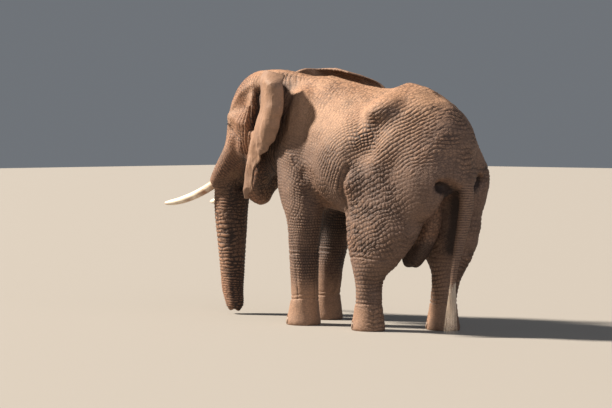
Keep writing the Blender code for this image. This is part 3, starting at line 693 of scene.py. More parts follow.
# hollow of the temple and the edge of the crown over it, both with painted shade
stroke(0.060, -0.080, on_head, 1.3, (-0.86, 3.02), (-0.83, 2.80), (-0.86, 2.55))
stroke(0.10, -0.040, on_head, 0.15, (-1.03, 3.00), (-1.10, 2.84))
stroke(0.045, 0.016, on_head, 0, (-0.98, 3.12), (-1.16, 3.02), (-1.32, 2.84))
# cheekbone, and the hollow under it with a little painted shade
stroke(0.055, 0.020, on_head, 0, (-1.28, 2.66), (-1.10, 2.60), (-0.95, 2.58))
stroke(0.060, -0.018, on_head, 0.1, (-1.24, 2.50), (-1.08, 2.42), (-1.00, 2.20))
# brow
stroke(0.050, 0.020, on_head, 0, (-1.47, 0.26, 2.70), (-1.36, 0.345, 2.695), (-1.22, 0.375, 2.69))
# sheath of the tusk, and the furrow behind it with painted shade
stroke(0.10, 0.018, on_head, 0, (-1.30, 2.42), (-1.46, 2.18), (-1.62, 1.92))
stroke(0.07, -0.020, on_head, 0.15, (-1.18, 2.40), (-1.28, 2.12), (-1.38, 1.86))
# upright folds between the eye and the ear: each a furrow with painted shade in it and a ridge behind it
FOLD_WIDTH = 0.014
RIDGE_BEHIND = 0.027
for place, lean, deep in ((-0.93, 0.02, 0.018), (-0.985, 0.0, 0.017),
                          (-1.04, -0.02, 0.015), (-1.10, -0.03, 0.011)):
    for back, lift, dark in ((0.0, -deep, 0.5), (RIDGE_BEHIND, deep * 0.7, 0)):
        stroke(FOLD_WIDTH, lift, on_head, dark,
               (place + back, 2.82), (place + back + lean, 2.55), (place + back - 0.02, 2.20))
# corner of the mouth, with painted shade in it
stroke(0.035, -0.018, on_head, 0.3, (-0.80, 2.10), (-0.95, 1.95), (-1.05, 1.80))
print("forms of the head set")

# %% [markdown]
# ## Creases of the hide
# The hide is far larger than the animal and creases wherever it moves. On the thigh the creases
# make slanting rows like worn brickwork. On the flank they bend round the front of the thigh, on
# the trunk and the tail they ring it, on the forelegs they are close level rows, on the forehead a
# fine lattice. Every pattern is laid out in its own directions and faded in by its region.

# %% Creases of the thigh, the flank and the haunch
crease = np.zeros(count)


def carve(pattern, weight, depth, shade_share=1.0):
    """Sinks the skin along a pattern and notes how much painted shade its creases get."""
    height[:] -= depth * pattern * weight
    crease[:] = np.maximum(crease, np.clip(pattern * weight * shade_share, 0.0, 1.0))


def say_creased(where):
    print("creased as far as", where, round(float((crease > 0.3).mean()), 3), "of the skin")


def bend(by_middle, by_small, by_fine=0.0):
    """How far the rows of a pattern wander, in rows."""
    return by_middle * middle + by_small * small + by_fine * fine


def slanted(angle):
    """Distances along a line that rises backwards at this angle, and across it."""
    a = math.radians(angle)
    return x * math.cos(a) + z * math.sin(a), z * math.cos(a) - x * math.sin(a)


along, across = slanted(24.0)
along = along + 0.4 * y
warp = bend(0.50, 0.30, 0.10)
thigh = np.clip(hind + torso * rise(x, 0.95, 1.25) * rise(z, 2.35, 1.95), 0.0, 1.0)
thigh_front = thigh * rise(sideways, 0.15, 0.55) * rise(x, 2.35, 1.55) * rise(z, 0.75, 1.05)
rows = bricks(across / 0.056 + warp + 0.15 * fine, along / 0.060 + 0.6 * small, 21, 0.95)
rows = np.maximum(rows, 0.45 * crossed(across / 0.075 + warp, along / 0.11, 0.8, 5.0))
carve(rows, thigh_front * (0.75 + 0.35 * small), 0.0165)
rows = bricks(across / 0.027 + 1.1 * warp, along / 0.034 + 0.5 * small, 22, 0.65)
carve(rows, thigh_front * rise(small, -0.5, 0.3), 0.0055, 0.7)

# rings round the front of the thigh
TURN_X, TURN_Z = 1.58, 1.64
radius = np.hypot(x - TURN_X, z - TURN_Z)
swing = np.arctan2(z - TURN_Z, TURN_X - x)
ring = rise(radius, 0.50, 0.60) * rise(radius, 1.25, 0.90) * rise(x, 1.72, 1.45)
flank_weight = torso * ring * rise(swing, -0.75, -0.2) * rise(sideways, 0.2, 0.5) * (1.0 - thigh_front)
rows = bricks(radius / 0.044 + bend(0.9, 0.4, 0.15), swing / 0.07 + 0.6 * small, 31, 0.75)
carve(rows, flank_weight * (0.75 + 0.5 * middle), 0.0135)
rows = crossed(radius / 0.022 + bend(0.9, 0.5), swing / 0.045, 0.35, 1.0)
carve(rows, flank_weight * rise(small, -0.4, 0.3), 0.0045, 0.6)

along, across = slanted(36.0)
haunch = torso * rise(x, 1.40, 1.62) * rise(z, 1.85, 2.15) * rise(z, 2.95, 2.7) * rise(sideways, 0.2, 0.5)
rows = bricks(across / 0.045 + bend(0.6, 0.3, 0.1), along / 0.070 + 0.45 * small, 41, 0.6)
carve(rows, haunch * rise(x, 2.48, 2.0) * (0.75 + 0.4 * middle), 0.0120, 0.8)
say_creased("the haunch")

# %% Creases of the ribs, the back and the rump
ribs = torso * rise(x, 0.1, 0.4) * rise(x, 1.5, 1.1) * rise(sideways, 0.3, 0.6) * (1.0 - ring * 0.8)
upright = x - 0.25 * (z - 2.2)
rows = bricks(upright / 0.052 + bend(1.0, 0.45), z / 0.07 + 0.6 * small, 51, 0.75)
carve(rows, ribs * (0.45 + 0.5 * middle), 0.0062, 0.7)
rows = crossed(upright / 0.030 + bend(0.8, 0.5), z / 0.055, 0.4, 2.0)
carve(rows, ribs * rise(small, -0.6, 0.4), 0.0028, 0.45)
shaken = points + 0.03 * middle[:, None]
back = torso * rise(nz, 0.35, 0.75)
carve(cells(shaken, (0.065, 0.050, 0.065), 61), back * (0.6 + 0.4 * middle), 0.0050, 0.8)
rump = np.clip(torso * rise(nx, 0.05, 0.85) + 0.8 * hind * rise(nx, 0.1, 0.8), 0.0, 1.0)
carve(cells(shaken, (0.045, 0.055, 0.032), 71), rump * (0.6 + 0.35 * middle), 0.0060, 0.9)
rows = furrows(z / 0.060 + bend(0.9, 0.4) - 0.5 * np.abs(y - midline), 2.5)
carve(rows, rump * rise(middle, -0.6, 0.3), 0.0070, 0.8)
belly = torso * rise(nz, -0.2, -0.6)
carve(cells(points, (0.06, 0.09, 0.06), 81), belly * 0.6, 0.004, 0.7)
say_creased("the belly")

# %% Creases of the neck, the shoulder and the legs
neck_side = neck * rise(sideways, 0.25, 0.6) * (1.0 - jaw)
rows = bricks(x / 0.075 + 0.25 * z + bend(0.8, 0.25), z / 0.12 + 0.5 * small, 91, 0.4)
carve(rows, neck_side * (0.75 + 0.5 * middle), 0.0110, 0.9)
rows = crossed(x / 0.034 + bend(0.7, 0.4), z / 0.06, 0.4, 4.0)
carve(rows, neck_side * rise(small, -0.6, 0.4), 0.0040, 0.6)
shoulder = (1.0 - ear) * rise(x, -0.45, -0.2) * rise(x, 0.75, 0.35) * rise(sideways, 0.3, 0.6)
shoulder *= rise(z, 2.6, 2.2) * rise(z, 1.2, 1.45)
rows = bricks((z + 0.25 * x) / 0.040 + bend(0.7, 0.3), (x - 0.2 * z) / 0.045 + 0.5 * small, 95, 0.8)
carve(rows, shoulder * (0.65 + 0.4 * middle), 0.0085, 0.8)
rows = furrows((x - 0.45 * z) / 0.11 + bend(0.8, 0.3), 4.0)
carve(rows, shoulder * rise(middle, -0.5, 0.4), 0.0030, 0.4)

round_leg = x + 0.8 * y
foreleg = fore * rise(z, 0.28, 0.40)
rows = bricks(z / 0.036 + bend(0.40, 0.20), round_leg / 0.040 + 0.4 * small, 101, 0.8)
carve(rows, foreleg * (0.6 + 0.45 * middle) * rise(z, 0.35, 0.8), 0.0100)
rows = furrows((x * 0.7 - y * 0.7) / 0.075 + 0.8 * big + 0.5 * middle, 4.0)
carve(rows, foreleg * rise(z, 1.35, 1.05) * rise(middle, -0.4, 0.4), 0.0065, 0.25)
shank = hind * rise(z, 0.26, 0.36) * rise(z, 1.0, 0.8)
rows = bricks(z / 0.050 + bend(0.55, 0.25), round_leg / 0.050 + 0.4 * small, 111, 0.7)
carve(rows, shank * (0.6 + 0.4 * middle), 0.0075, 0.9)
say_creased("the legs")

# %% [markdown]
# The trunk is ringed all the way down, closest together at its lower end. On its front the rings
# are cut up by short upright creases. The face has upright creases on the cheek and a lattice on
# the forehead; the ears carry veins and a faint net, and are otherwise smooth.

# %% Creases of the trunk and the face
ring_gap = 0.042 - 0.010 * rise(z, 1.4, 0.4)
rows = bricks(z / ring_gap + bend(0.55, 0.35), (y - 0.5 * x) / 0.055 + 0.6 * small, 121, 0.7)
carve(rows, trunk * (0.75 + 0.45 * middle), 0.0105)
rows = furrows((y * 0.8 - 0.7 * x) / 0.060 + bend(0.9, 0.3), 3.5)
carve(rows, trunk * rise(z, 0.9, 1.2) * rise(small, -0.6, 0.3), 0.0070, 0.35)
rows = bricks((z + 0.5 * x) / 0.048 + bend(1.0, 0.5), (y + 0.3 * x) / 0.055 + 0.8 * small, 131, 0.8)
carve(rows, head * rise(nx, 0.1, -0.35) * (0.6 + 0.4 * middle), 0.0070, 0.9)
cheek = head * rise(sideways, 0.4, 0.7) * (1.0 - jaw)
rows = bricks((x + 0.35 * z) / 0.036 + bend(0.6, 0.35), z / 0.060 + 0.5 * small, 141, 0.7)
carve(rows, cheek * (0.6 + 0.4 * middle), 0.0060, 0.8)
lower_face = np.clip(jaw + head * rise(z, 2.05, 1.90) * rise(x, -1.45, -1.25), 0.0, 1.0)
shaken = points + 0.03 * small[:, None]
carve(cells(shaken, (0.055, 0.040, 0.045), 142), lower_face * 0.7, 0.0055, 0.8)
say_creased("the face")

# %% Creases of the tail, the sheath and the ears
carve(furrows(z / 0.030 + 0.35 * small, 1.6), tail * 0.8, 0.0036, 0.9)
carve(cells(shaken, (0.045, 0.040, 0.050), 145), sheath * rise(z, 1.02, 1.15) * 0.8, 0.0065, 0.8)
vein = (1.0 - np.abs(noise(points, 0.20, 153))) ** 7 + 0.6 * (1.0 - np.abs(noise(points, 0.10, 154))) ** 9
height += ear * (0.0055 * vein + 0.009 * noise(points, 0.30, 155) + 0.004 * middle)
carve(cells(points + 0.05 * middle[:, None], (0.14, 0.14, 0.20), 151), ear * 0.5, 0.0028, 0.35)
rows = furrows((x * 0.8 - 0.5 * np.abs(y)) / 0.05 + bend(1.2, 0.4))
carve(rows, ear * rise(z, 2.9, 2.3) * rise(middle, -0.4, 0.3), 0.0045, 0.6)
net = cells(points + 0.02 * small[:, None], (0.030, 0.030, 0.042), 152)
carve(net, ear * rise(middle, -0.6, 0.4), 0.0016, 0.4)
say_creased("the ears")

# %% [markdown]
# ## The tip of the trunk
# The trunk ends in two nostrils side by side, with a finger of flesh ahead of them and one behind
# that close like pincers. Both are soft dents and mounds about the middle of the tip.

# %% Nostrils and fingers
tip_x, tip_y = points[trunk * (z < 0.12) > 0.5][:, :2].mean(axis=0)
at_tip = trunk * rise(z, 0.30, 0.16)
for way in (-1, 1):
    nostril = np.hypot((x - tip_x) / 0.030, (y - tip_y - way * 0.036) / 0.024)
    hole = bell(nostril) * rise(nz, -0.2, -0.6) * at_tip
    height -= 0.060 * hole
    # painted shade inside each nostril
    darken(2.2 * hole)
for way in (-1, 1):
    finger = np.hypot((x - tip_x - way * 0.075) / 0.030, (y - tip_y) / 0.034)
    height += 0.026 * bell(finger) * rise(nz, 0.2, -0.4) * at_tip
print("trunk tip at", round(float(tip_x), 3), round(float(tip_y), 3))

# %% [markdown]
# ## Sag, ankles and cuticles
# Last come a gentle sag of the whole hide, deep wrinkles round the ankles and the knees, and the
# skin at the toenails: it sinks out of sight under each nail and swells in a cuticle beside it. Then
# the heights are spent: every point moves along its normal, and none goes below the floor.

# %% Moving the skin
height += torso * (0.006 * middle + 0.004 * small)
height += legs * 0.003 * small + head * (0.004 * middle + 0.002 * small)
for level, deep in ((0.335, 0.010), (0.385, 0.006), (0.92, 0.010), (0.98, 0.006)):
    wrinkle = bell((z - level - 0.03 * middle) / 0.012)
    height -= deep * wrinkle * legs * rise(np.abs(z - level), 0.2, 0.1)
nails = [name for name in sorted(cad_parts) if "nail" in name]
nail_gap = np.min([gaps(name, tree_of(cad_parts[name]), SOFT_REACH) for name in nails], axis=0)
under_nail = rise(nail_gap, 0.016, 0.006)
cuticle = bell((nail_gap - 0.020) / 0.006)
height = height * (1.0 - under_nail) - 0.012 * under_nail + 0.005 * cuticle
# painted shade in the groove round each nail
crease = np.maximum(crease, 0.8 * bell((nail_gap - 0.009) / 0.004))
height = np.where(z < 0.055, height * rise(z, 0.004, 0.055), height)
on_floor = z < 0.006
points = points + normals * height[:, None]
points[:, 2] = np.where(on_floor, 0.0, np.maximum(points[:, 2], 0.0))
print("skin moved by", round(float(height.min()), 4), "to", round(float(height.max()), 4))

# %% [markdown]
# ## Eyes and lids
# The eye is small, amber brown, and sits at the side of the head under the brow. Thick wrinkled
# lids hold it. The skin round each eye is divided more finely, sinks behind the eyeball inside the
# opening of the lids, and stands up in a rim just outside it.

# %% Finer skin round the eyes
skin = build("skin", points, faces)


def eye_frame(name):
    """Centre and radius of an eyeball, and the directions outward, forward and up at it."""
    low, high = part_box(name)
    centre = np.array((low + high) / 2)
    outward = unit(np.array((-0.22, math.copysign(1.0, centre[1]), 0.05)))
    forward = unit(np.cross(outward, (0.0, 0.0, 1.0)))
    forward *= -np.sign(forward[0])
    up = np.cross(forward, outward)
    return centre, max(high - low) / 2, outward, forward, up * np.sign(up[2])


form = form_of(skin.data)
for reach in (0.11, 0.065, 0.036):
    chosen = set()
    for name in EYES:
        centre = Vector(eye_frame(name)[0])
        chosen.update(edge for edge in form.edges if (edge.verts[0].co - centre).length < reach)
    bmesh.ops.subdivide_edges(form, edges=sorted(chosen, key=lambda e: e.index), cuts=1, use_grid_fill=True)
    form.edges.index_update()
bmesh.ops.triangulate(form, faces=[face for face in form.faces if len(face.verts) > 4])
print(len(form.verts) - count, "points added round the eyes")

# %% Lids
LID_REACH = 0.11
LID_HALF_WIDTH = 0.0195
LID_HALF_HEIGHT = 0.0088


def lid_height(a):
    """Half the height of the opening of the lids, a metres ahead of its middle."""
    return LID_HALF_HEIGHT * max(0.0, 1.0 - (a / LID_HALF_WIDTH) ** 2)


for name in EYES:
    centre, radius, outward, forward, up = eye_frame(name)
    for vert in form.verts:
        gap = np.array(vert.co) - centre
        if gap @ gap > LID_REACH**2 or gap @ outward < -0.05:
            continue
        a, b, c = gap @ forward, gap @ up, gap @ outward
        # above 0 inside the almond opening, below 0 outside it
        opening = lid_height(a) - abs(b + 0.0005 - 1.5 * a * abs(a))
        r = math.hypot(0.85 * a, b)
        ball = math.sqrt(max(0.0, radius**2 - min(math.hypot(a, b), radius) ** 2))
        target = c + max(0.0, 0.0228 - c) * (1.0 - float(rise(r, 0.009, 0.046)))
        folds = math.cos(2.0 * math.pi * (r - 0.003 * math.cos(45.0 * a)) / 0.0115)
        target += 0.0024 * folds * max(0.0, 1.0 - r / 0.085) * float(rise(opening, -0.002, -0.006))
        if opening > 0.0:
            target = min(ball - 0.005, target) - 0.4 * opening
        elif opening > -0.010:
            target += 0.0022 * math.exp(-((opening + 0.0035) / 0.0025) ** 2)
        vert.co += Vector(outward * (target - c))
settle(form, skin)
print("skin with lids:", len(skin.data.vertices), "points")

# %% [markdown]
# ## Colours of the hide
# The hide itself is grey brown. This animal has dusted itself with red earth: it lies thick on the
# back, the head and the ears and thinner on the flank, and the head and the trunk are the reddest.
# Creases, hollows and skin turned from the light are darkened with painted shade. Each point of
# the skin stores how much dust lies there, how red it is and how much painted shade it carries; the
# material mixes its colours from those numbers. The dust number holds painted light as well: crests
# between creases are painted lighter, and the lower cheek, the neck and the upper rump darker.

# %% Dust, red earth and painted shade numbers on the skin
final_points = places_of(skin.data)
NEAR_EYE = 0.20
near_eye = np.zeros(count, bool)
for name in EYES:
    near_eye |= np.linalg.norm(points - eye_frame(name)[0], axis=1) < NEAR_EYE
old_points = KDTree(int(near_eye.sum()))
for i in np.nonzero(near_eye)[0]:
    old_points.insert(points[i], int(i))
old_points.balance()
# the points that the lids added take the numbers of the nearest point that was there before
added = [old_points.find(place)[1] for place in final_points[count:]]
origins = np.concatenate((np.arange(count), added)).astype(int)

dust = 0.35 * torso * rise(z, 1.6, 2.6)
# dust on upward faces, thinned over the rump as painted shade
dust += 0.65 * torso * rise(nz, 0.1, 0.75) * (1.0 - 0.8 * rise(x, 2.0, 2.35))
dust += 0.75 * head + 0.45 * trunk + 0.42 * ear + 0.15 * tail + 0.15 * fore
# more dust on the lower legs; less on the rump, and on the neck below its top as painted shade
dust += 0.40 * legs * rise(z, 0.9, 0.1) - 0.10 * rump - 0.15 * neck * rise(nz, 0.6, 0.2)
# painted shade on the upper rump: less dust
dust -= 0.30 * torso * rise(x, 2.0, 2.3) * rise(z, 2.2, 2.5)
# painted shade on the lower cheek: less dust and more red earth
shaded_lower_cheek = head * rise(z, 2.42, 2.12) * rise(sideways, 0.3, 0.7)
dust -= 0.55 * shaded_lower_cheek
dust += 0.18 * big + 0.16 * middle + 0.08 * small
# painted highlight on the crests and painted shade in the creases of the creased regions
creased = thigh_front + flank_weight + haunch + 0.7 * foreleg + 0.7 * shoulder + 0.6 * shank
dust += np.clip(creased, 0.0, 1.0) * (0.22 - 0.75 * crease)
ruddy = 0.3 * shaded_lower_cheek + 0.75 * head * rise(nx, 0.6, -0.3) + 0.35 * cheek + 0.35 * lower_face
ruddy += 0.5 * torso * rise(nz, 0.3, 0.8) + 0.4 * belly + 0.5 * sheath * rise(z, 1.05, 1.25)
ruddy += 0.62 * trunk + 0.15 * thigh_front + 0.2 * middle
# skin that faces the rear or the other legs lies in shade
darken(0.45 * neck_side * rise(z, 2.95, 2.6))
darken(0.8 * trunk * rise(nx, 0.15, 0.75))
darken(0.55 * fore * rise(nx, 0.25, 0.85) * rise(z, 0.35, 0.7))
inward = -ny * np.sign(y - midline)
darken(0.90 * fore * rise(inward, -0.1, 0.5) * rise(z, 0.55, 1.20))
# painted shade: the creases, the shade strokes and the lower sheath, stored as the crease number
painted_shade = crease * 0.9 + shade * 0.6 + 0.75 * sheath * rise(z, 1.16, 1.02)


def store(piece, name, values):
    piece.data.attributes.new(name, "FLOAT", "POINT").data.foreach_set("value", values.astype(np.float32))


for name, values, most in (("dust", dust, 1.0), ("crease", painted_shade, 1.15), ("ruddy", ruddy, 1.0),
                           ("ear_share", ear, 1.0)):
    values = np.clip(values, 0.0, most)
    store(skin, name, values[origins])
    print("mean", name, round(float(values.mean()), 3))

# %% [markdown]
# ## A flat map of the skin
# The hide is unwrapped so that its colours can be written to an image later. Neighbouring faces of
# one part that face the same way form a patch; each patch is laid flat along that way, all at one
# scale, and the patches are set side by side in rows. Patches too small to matter join a neighbour.

# %% Sorting the faces into patches
FLOW_ROUNDS = 14
flow = normals
for _ in range(FLOW_ROUNDS):
    flow = spread(flow, edges)
strongest = np.abs(flow).argmax(axis=1)
facing = strongest * 2 + (flow[np.arange(count), strongest] > 0)
left = y < midline
part = np.argmax(np.stack((
    torso, head * (1.0 - jaw), head * jaw, trunk, ear_left, ear_right, tail, sheath,
    fore * left, fore * ~left, hind * left, hind * ~left,
)), axis=0)
mesh = skin.data
corner_point = column(mesh.loops, "vertex_index")
corner_edge = column(mesh.loops, "edge_index")
corner_start = column(mesh.polygons, "loop_start")
corner_face = np.zeros(len(mesh.loops), np.int64)
corner_face[corner_start[1:]] = 1
corner_face = corner_face.cumsum()
face_label = (part * 6 + facing)[origins][corner_point[corner_start]]
order = np.argsort(corner_edge, kind="stable")
same = corner_edge[order][1:] == corner_edge[order][:-1]
touch_a, touch_b = corner_face[order][:-1][same], corner_face[order][1:][same]


def patches(label):
    """Gives each connected run of faces with one label a number of its own."""
    keep = label[touch_a] == label[touch_b]
    a, b = touch_a[keep], touch_b[keep]
    root = np.arange(len(label))
    while True:
        first, second = root[a], root[b]
        differ = first != second
        if not differ.any():
            return root
        low_root = np.minimum(first, second)[differ]
        np.minimum.at(root, first[differ], low_root)
        np.minimum.at(root, second[differ], low_root)
        for _ in range(4):
            root = root[root]


SMALLEST_PATCH = 500
for _ in range(6):
    patch = patches(face_label)
    size = np.bincount(patch, minlength=len(patch))[patch]
    for a, b in ((touch_a, touch_b), (touch_b, touch_a)):
        move = (size[a] < SMALLEST_PATCH) & (size[b] > size[a])
        face_label[a[move]] = face_label[b[move]]
_, patch = np.unique(patches(face_label), return_inverse=True)
patch_count = int(patch.max()) + 1
print(patch_count, "patches")

# %% Laying the patches out on a sheet
PATCH_GAP = 0.02
BEYOND = 99.0
FLAT_AXES = np.array(((1, 2), (0, 2), (0, 1)))
axes = FLAT_AXES[(face_label % 6) // 2][corner_face]
flat = np.take_along_axis(final_points[corner_point], axes, axis=1)
corner_patch = patch[corner_face]
flat_low = np.full((patch_count, 2), BEYOND)
flat_high = np.full((patch_count, 2), -BEYOND)
for k in (0, 1):
    np.minimum.at(flat_low[:, k], corner_patch, flat[:, k])
    np.maximum.at(flat_high[:, k], corner_patch, flat[:, k])
sizes = flat_high - flat_low + PATCH_GAP
sheet_width = math.sqrt(float(sizes.prod(axis=1).sum()) * 1.15)
origin = np.zeros((patch_count, 2))
across, up, row_height = 0.0, 0.0, 0.0
for k in np.argsort(-sizes[:, 1], kind="stable"):
    if across + sizes[k, 0] > sheet_width and across > 0.0:
        across, up, row_height = 0.0, up + row_height, 0.0
    origin[k] = across, up
    across += sizes[k, 0]
    row_height = max(row_height, sizes[k, 1])
sheet_size = max(sheet_width, up + row_height) * 1.01
corner_flat = (flat - flat_low[corner_patch] + origin[corner_patch] + PATCH_GAP / 2) / sheet_size


def lay_flat(mesh, places):
    mesh.uv_layers.new(name="OFBake").data.foreach_set("uv", places.astype(np.float32).ravel())


lay_flat(mesh, corner_flat)
print("sheet", round(sheet_size, 2), "m wide")

# %% [markdown]
# ## Materials in nodes
# A finish is a small sum of patterns. The helpers below each add one node to the material at hand,
# and take numbers, colours or the sockets of other nodes.

# %% Helpers for materials
def feed(socket, value):
    """Sets a number or a colour on a socket, or links another socket to it."""
    if isinstance(value, bpy.types.NodeSocket):
        tree.links.new(value, socket)
    else:
        socket.default_value = (*value, 1.0) if socket.type == "RGBA" else value


def node(kind, inputs, **fields):
    """A new node; inputs says what goes into which of its sockets."""
    made = tree.nodes.new("ShaderNode" + kind)
    for field, value in fields.items():
        setattr(made, field, value)
    for socket, value in inputs.items():
        feed(made.inputs[socket], value)
    return made


def mixed(share, first, second):
    return node("Mix", {0: share, 6: first, 7: second}, data_type="RGBA").outputs[2]


def arithmetic(kind):
    """A helper that joins two numbers in one way."""
    def join(first, second, clamp=False):
        return node("Math", {0: first, 1: second}, operation=kind, use_clamp=clamp).outputs[0]
    return join


plus, minus, times = (arithmetic(kind) for kind in ("ADD", "SUBTRACT", "MULTIPLY"))


def stored(name):
    """A number stored on the points."""
    return node("Attribute", {}, attribute_name=name).outputs["Fac"]


def place_on_piece():
    return node("TexCoord", {}).outputs["Object"]


def stretched(place, scale):
    return node("Mapping", {"Vector": place, "Scale": scale}).outputs[0]


def mottle(place, scale, detail=4.0, rough=0.6):
    fields = {"Scale": scale, "Detail": detail, "Roughness": rough, "Vector": place}
    return node("TexNoise", fields).outputs["Fac"]


def curve(value, low, high, to_low=0.0, to_high=1.0):
    """Runs from to_low to to_high as value runs from low to high."""
    fields = {"From Min": low, "From Max": high, "To Min": to_low, "To Max": to_high, "Value": value}
    return node("MapRange", fields).outputs["Result"]


def cracks(place, scale, stretch, width):
    """1 on the cracks of a net of cells stretched along the axes, 0 beside them."""
    fields = {"Scale": scale, "Vector": stretched(place, stretch)}
    gap = node("TexVoronoi", fields, feature="DISTANCE_TO_EDGE").outputs["Distance"]
    return curve(gap, 0.0, width, 1.0, 0.0)


def finish(shader, colour, height=None, strength=0.0, distance=0.0):
    """Gives the shader its colour, and bump from a height."""
    feed(shader.inputs["Base Color"], colour)
    if height is not None:
        bump = node("Bump", {"Strength": strength, "Distance": distance, "Height": height})
        feed(shader.inputs["Normal"], bump.outputs["Normal"])


def complete(piece, look, slot, *nodes):
    """Gives a piece its material and smooth shading, hangs it on the root body and hides the solids that it
    stands for; slot is not used.
    """
    piece.data.materials.clear()
    piece.data.materials.append(look)
    piece.data.polygons.foreach_set("use_smooth", np.ones(len(piece.data.polygons), bool))
    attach(piece, "root")
    if nodes:
        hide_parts(*nodes)


# %% [markdown]
# ## The hide material
# The colour starts as grey-brown hide, takes on tan dust where the dust number is high and red
# earth where the ruddy number is, and turns dark with painted shade where the crease number is
# high. Grain too fine for the mesh, the pebbled skin between creases, is bump: small cells
# stretched level, as the rows are, with painted shade in their cracks. The ears are smoother, so
# their cracks are fainter.

# %% Hide
HIDE_GREY = (0.162, 0.099, 0.071)
HIDE_DUST = (0.402, 0.230, 0.135)
HIDE_EARTH = (0.330, 0.150, 0.075)
# the dark colour of painted shade in creases, cracks and hollows
HIDE_SHADE = (0.022, 0.012, 0.009)
hide, tree, shader = material("elephant_hide", 0.68)
shader.inputs["Specular IOR Level"].default_value = 0.32
place = place_on_piece()
speckle = mottle(place, 14.0, 5.0, 0.7)
dusty = plus(stored("dust"), times(minus(speckle, 0.5), 0.7), True)
colour = mixed(dusty, HIDE_GREY, HIDE_DUST)
earth = times(stored("ruddy"), curve(mottle(place, 1.6), 0.35, 0.7), True)
colour = mixed(earth, colour, HIDE_EARTH)
lines = plus(times(cracks(place, 26.0, (0.9, 0.9, 1.7), 0.16), 0.28),
             times(cracks(place, 70.0, (0.9, 0.9, 1.5), 0.2), 0.15))
lines = times(lines, minus(1.0, times(stored("ear_share"), 0.7)))
# painted shade: the stored crease number and the fine cracks mix the colour towards the dark shade colour
deep = plus(times(stored("crease"), 0.95), lines, True)
finish(shader, mixed(deep, colour, HIDE_SHADE), minus(times(speckle, 0.5), lines), 0.8, 0.006)
complete(skin, hide, "hide", *flesh)
print("hide of", len(tree.nodes), "nodes")

# %% [markdown]
# ## Eyeballs
# An eyeball is a sphere turned so that its pole looks outward; a gentle bulge there is the cornea.
# Each point knows how far it lies from the line of sight, and the material goes by that number:
# pupil, amber iris, dark rim and then the brown of the rest.

# %% Eyes
eye_look, tree, shader = material("eye_gloss", 0.06)
shader.inputs["Coat Weight"].default_value = 1.0
ramp = node("ValToRGB", {0: stored("off_sight")})
tones = ramp.color_ramp.elements
tones[0].position = 0.17
tones[0].color = (0.003, 0.002, 0.002, 1.0)
tones[1].color = (0.05, 0.028, 0.02, 1.0)
for position, tone in ((0.20, (0.10, 0.045, 0.015)), (0.34, (0.24, 0.115, 0.035)),
                       (0.46, (0.11, 0.05, 0.018)), (0.52, (0.012, 0.008, 0.006)),
                       (0.60, (0.09, 0.06, 0.045))):
    tones.new(position).color = (*tone, 1.0)
fleck = curve(mottle(place_on_piece(), 400.0), 0.4, 0.7, 0.0, 0.45)
finish(shader, mixed(fleck, ramp.outputs[0], (0.02, 0.012, 0.008)))
RINGS, SPOKES = 36, 48
CORNEA = 0.0012


def banded(grid):
    """Faces between neighbouring rings of points; the last axis of grid runs round each ring."""
    after = np.roll(grid, -1, axis=-1)
    corners = (grid[..., :-1, :], after[..., :-1, :], after[..., 1:, :], grid[..., 1:, :])
    return np.stack(corners, axis=-1).reshape(-1, 4)


for name in EYES:
    centre, radius, outward, forward, up = eye_frame(name)
    angle, turn = np.meshgrid(np.linspace(0.02, math.pi - 0.02, RINGS),
                              np.arange(SPOKES) * 2 * math.pi / SPOKES, indexing="ij")
    swell = radius + CORNEA * rise(angle, 0.62, 0.40)
    ball = centre + (swell * np.cos(angle))[..., None] * outward
    ball = ball + (swell * np.sin(angle) * np.cos(turn))[..., None] * forward
    ball = ball + (swell * np.sin(angle) * np.sin(turn))[..., None] * up
    quads = banded(np.arange(RINGS * SPOKES).reshape(RINGS, SPOKES))
    eyeball = closed(build(name + "_ball", ball.reshape(-1, 3), quads))
    store(eyeball, "off_sight", angle.ravel())
    complete(eyeball, eye_look, "eye", name)
print("eyeballs", round(2000 * radius, 1), "mm across")

# %% [markdown]
# ## Hairs
# An elephant is nearly bald, and the few hairs it has are stiff. Long pale bristles make the end of
# the tail, thick lashes shade the eyes, and short bristles stand on chin, trunk, crown and back.
# Each is a three-sided rod that bends under its weight and thins to its tip. On the flat map a
# whole hair is one tiny patch at its root, on the hide it grows on.

# %% Rods
SEGMENTS = 6
HAIR_PATCH = 0.003
HAIR_CLEARANCE = 0.012
NEAR_BY = 0.06
face_middle = final_points[corner_point[corner_start]]
face_flat = corner_flat[corner_start]


def flat_place(place):
    """Where on the flat map the skin nearest to place lies."""
    near_by = np.nonzero(np.abs(face_middle - place).max(axis=1) < NEAR_BY)[0]
    best = near_by[np.linalg.norm(face_middle[near_by] - place, axis=1).argmin()]
    return face_flat[best]


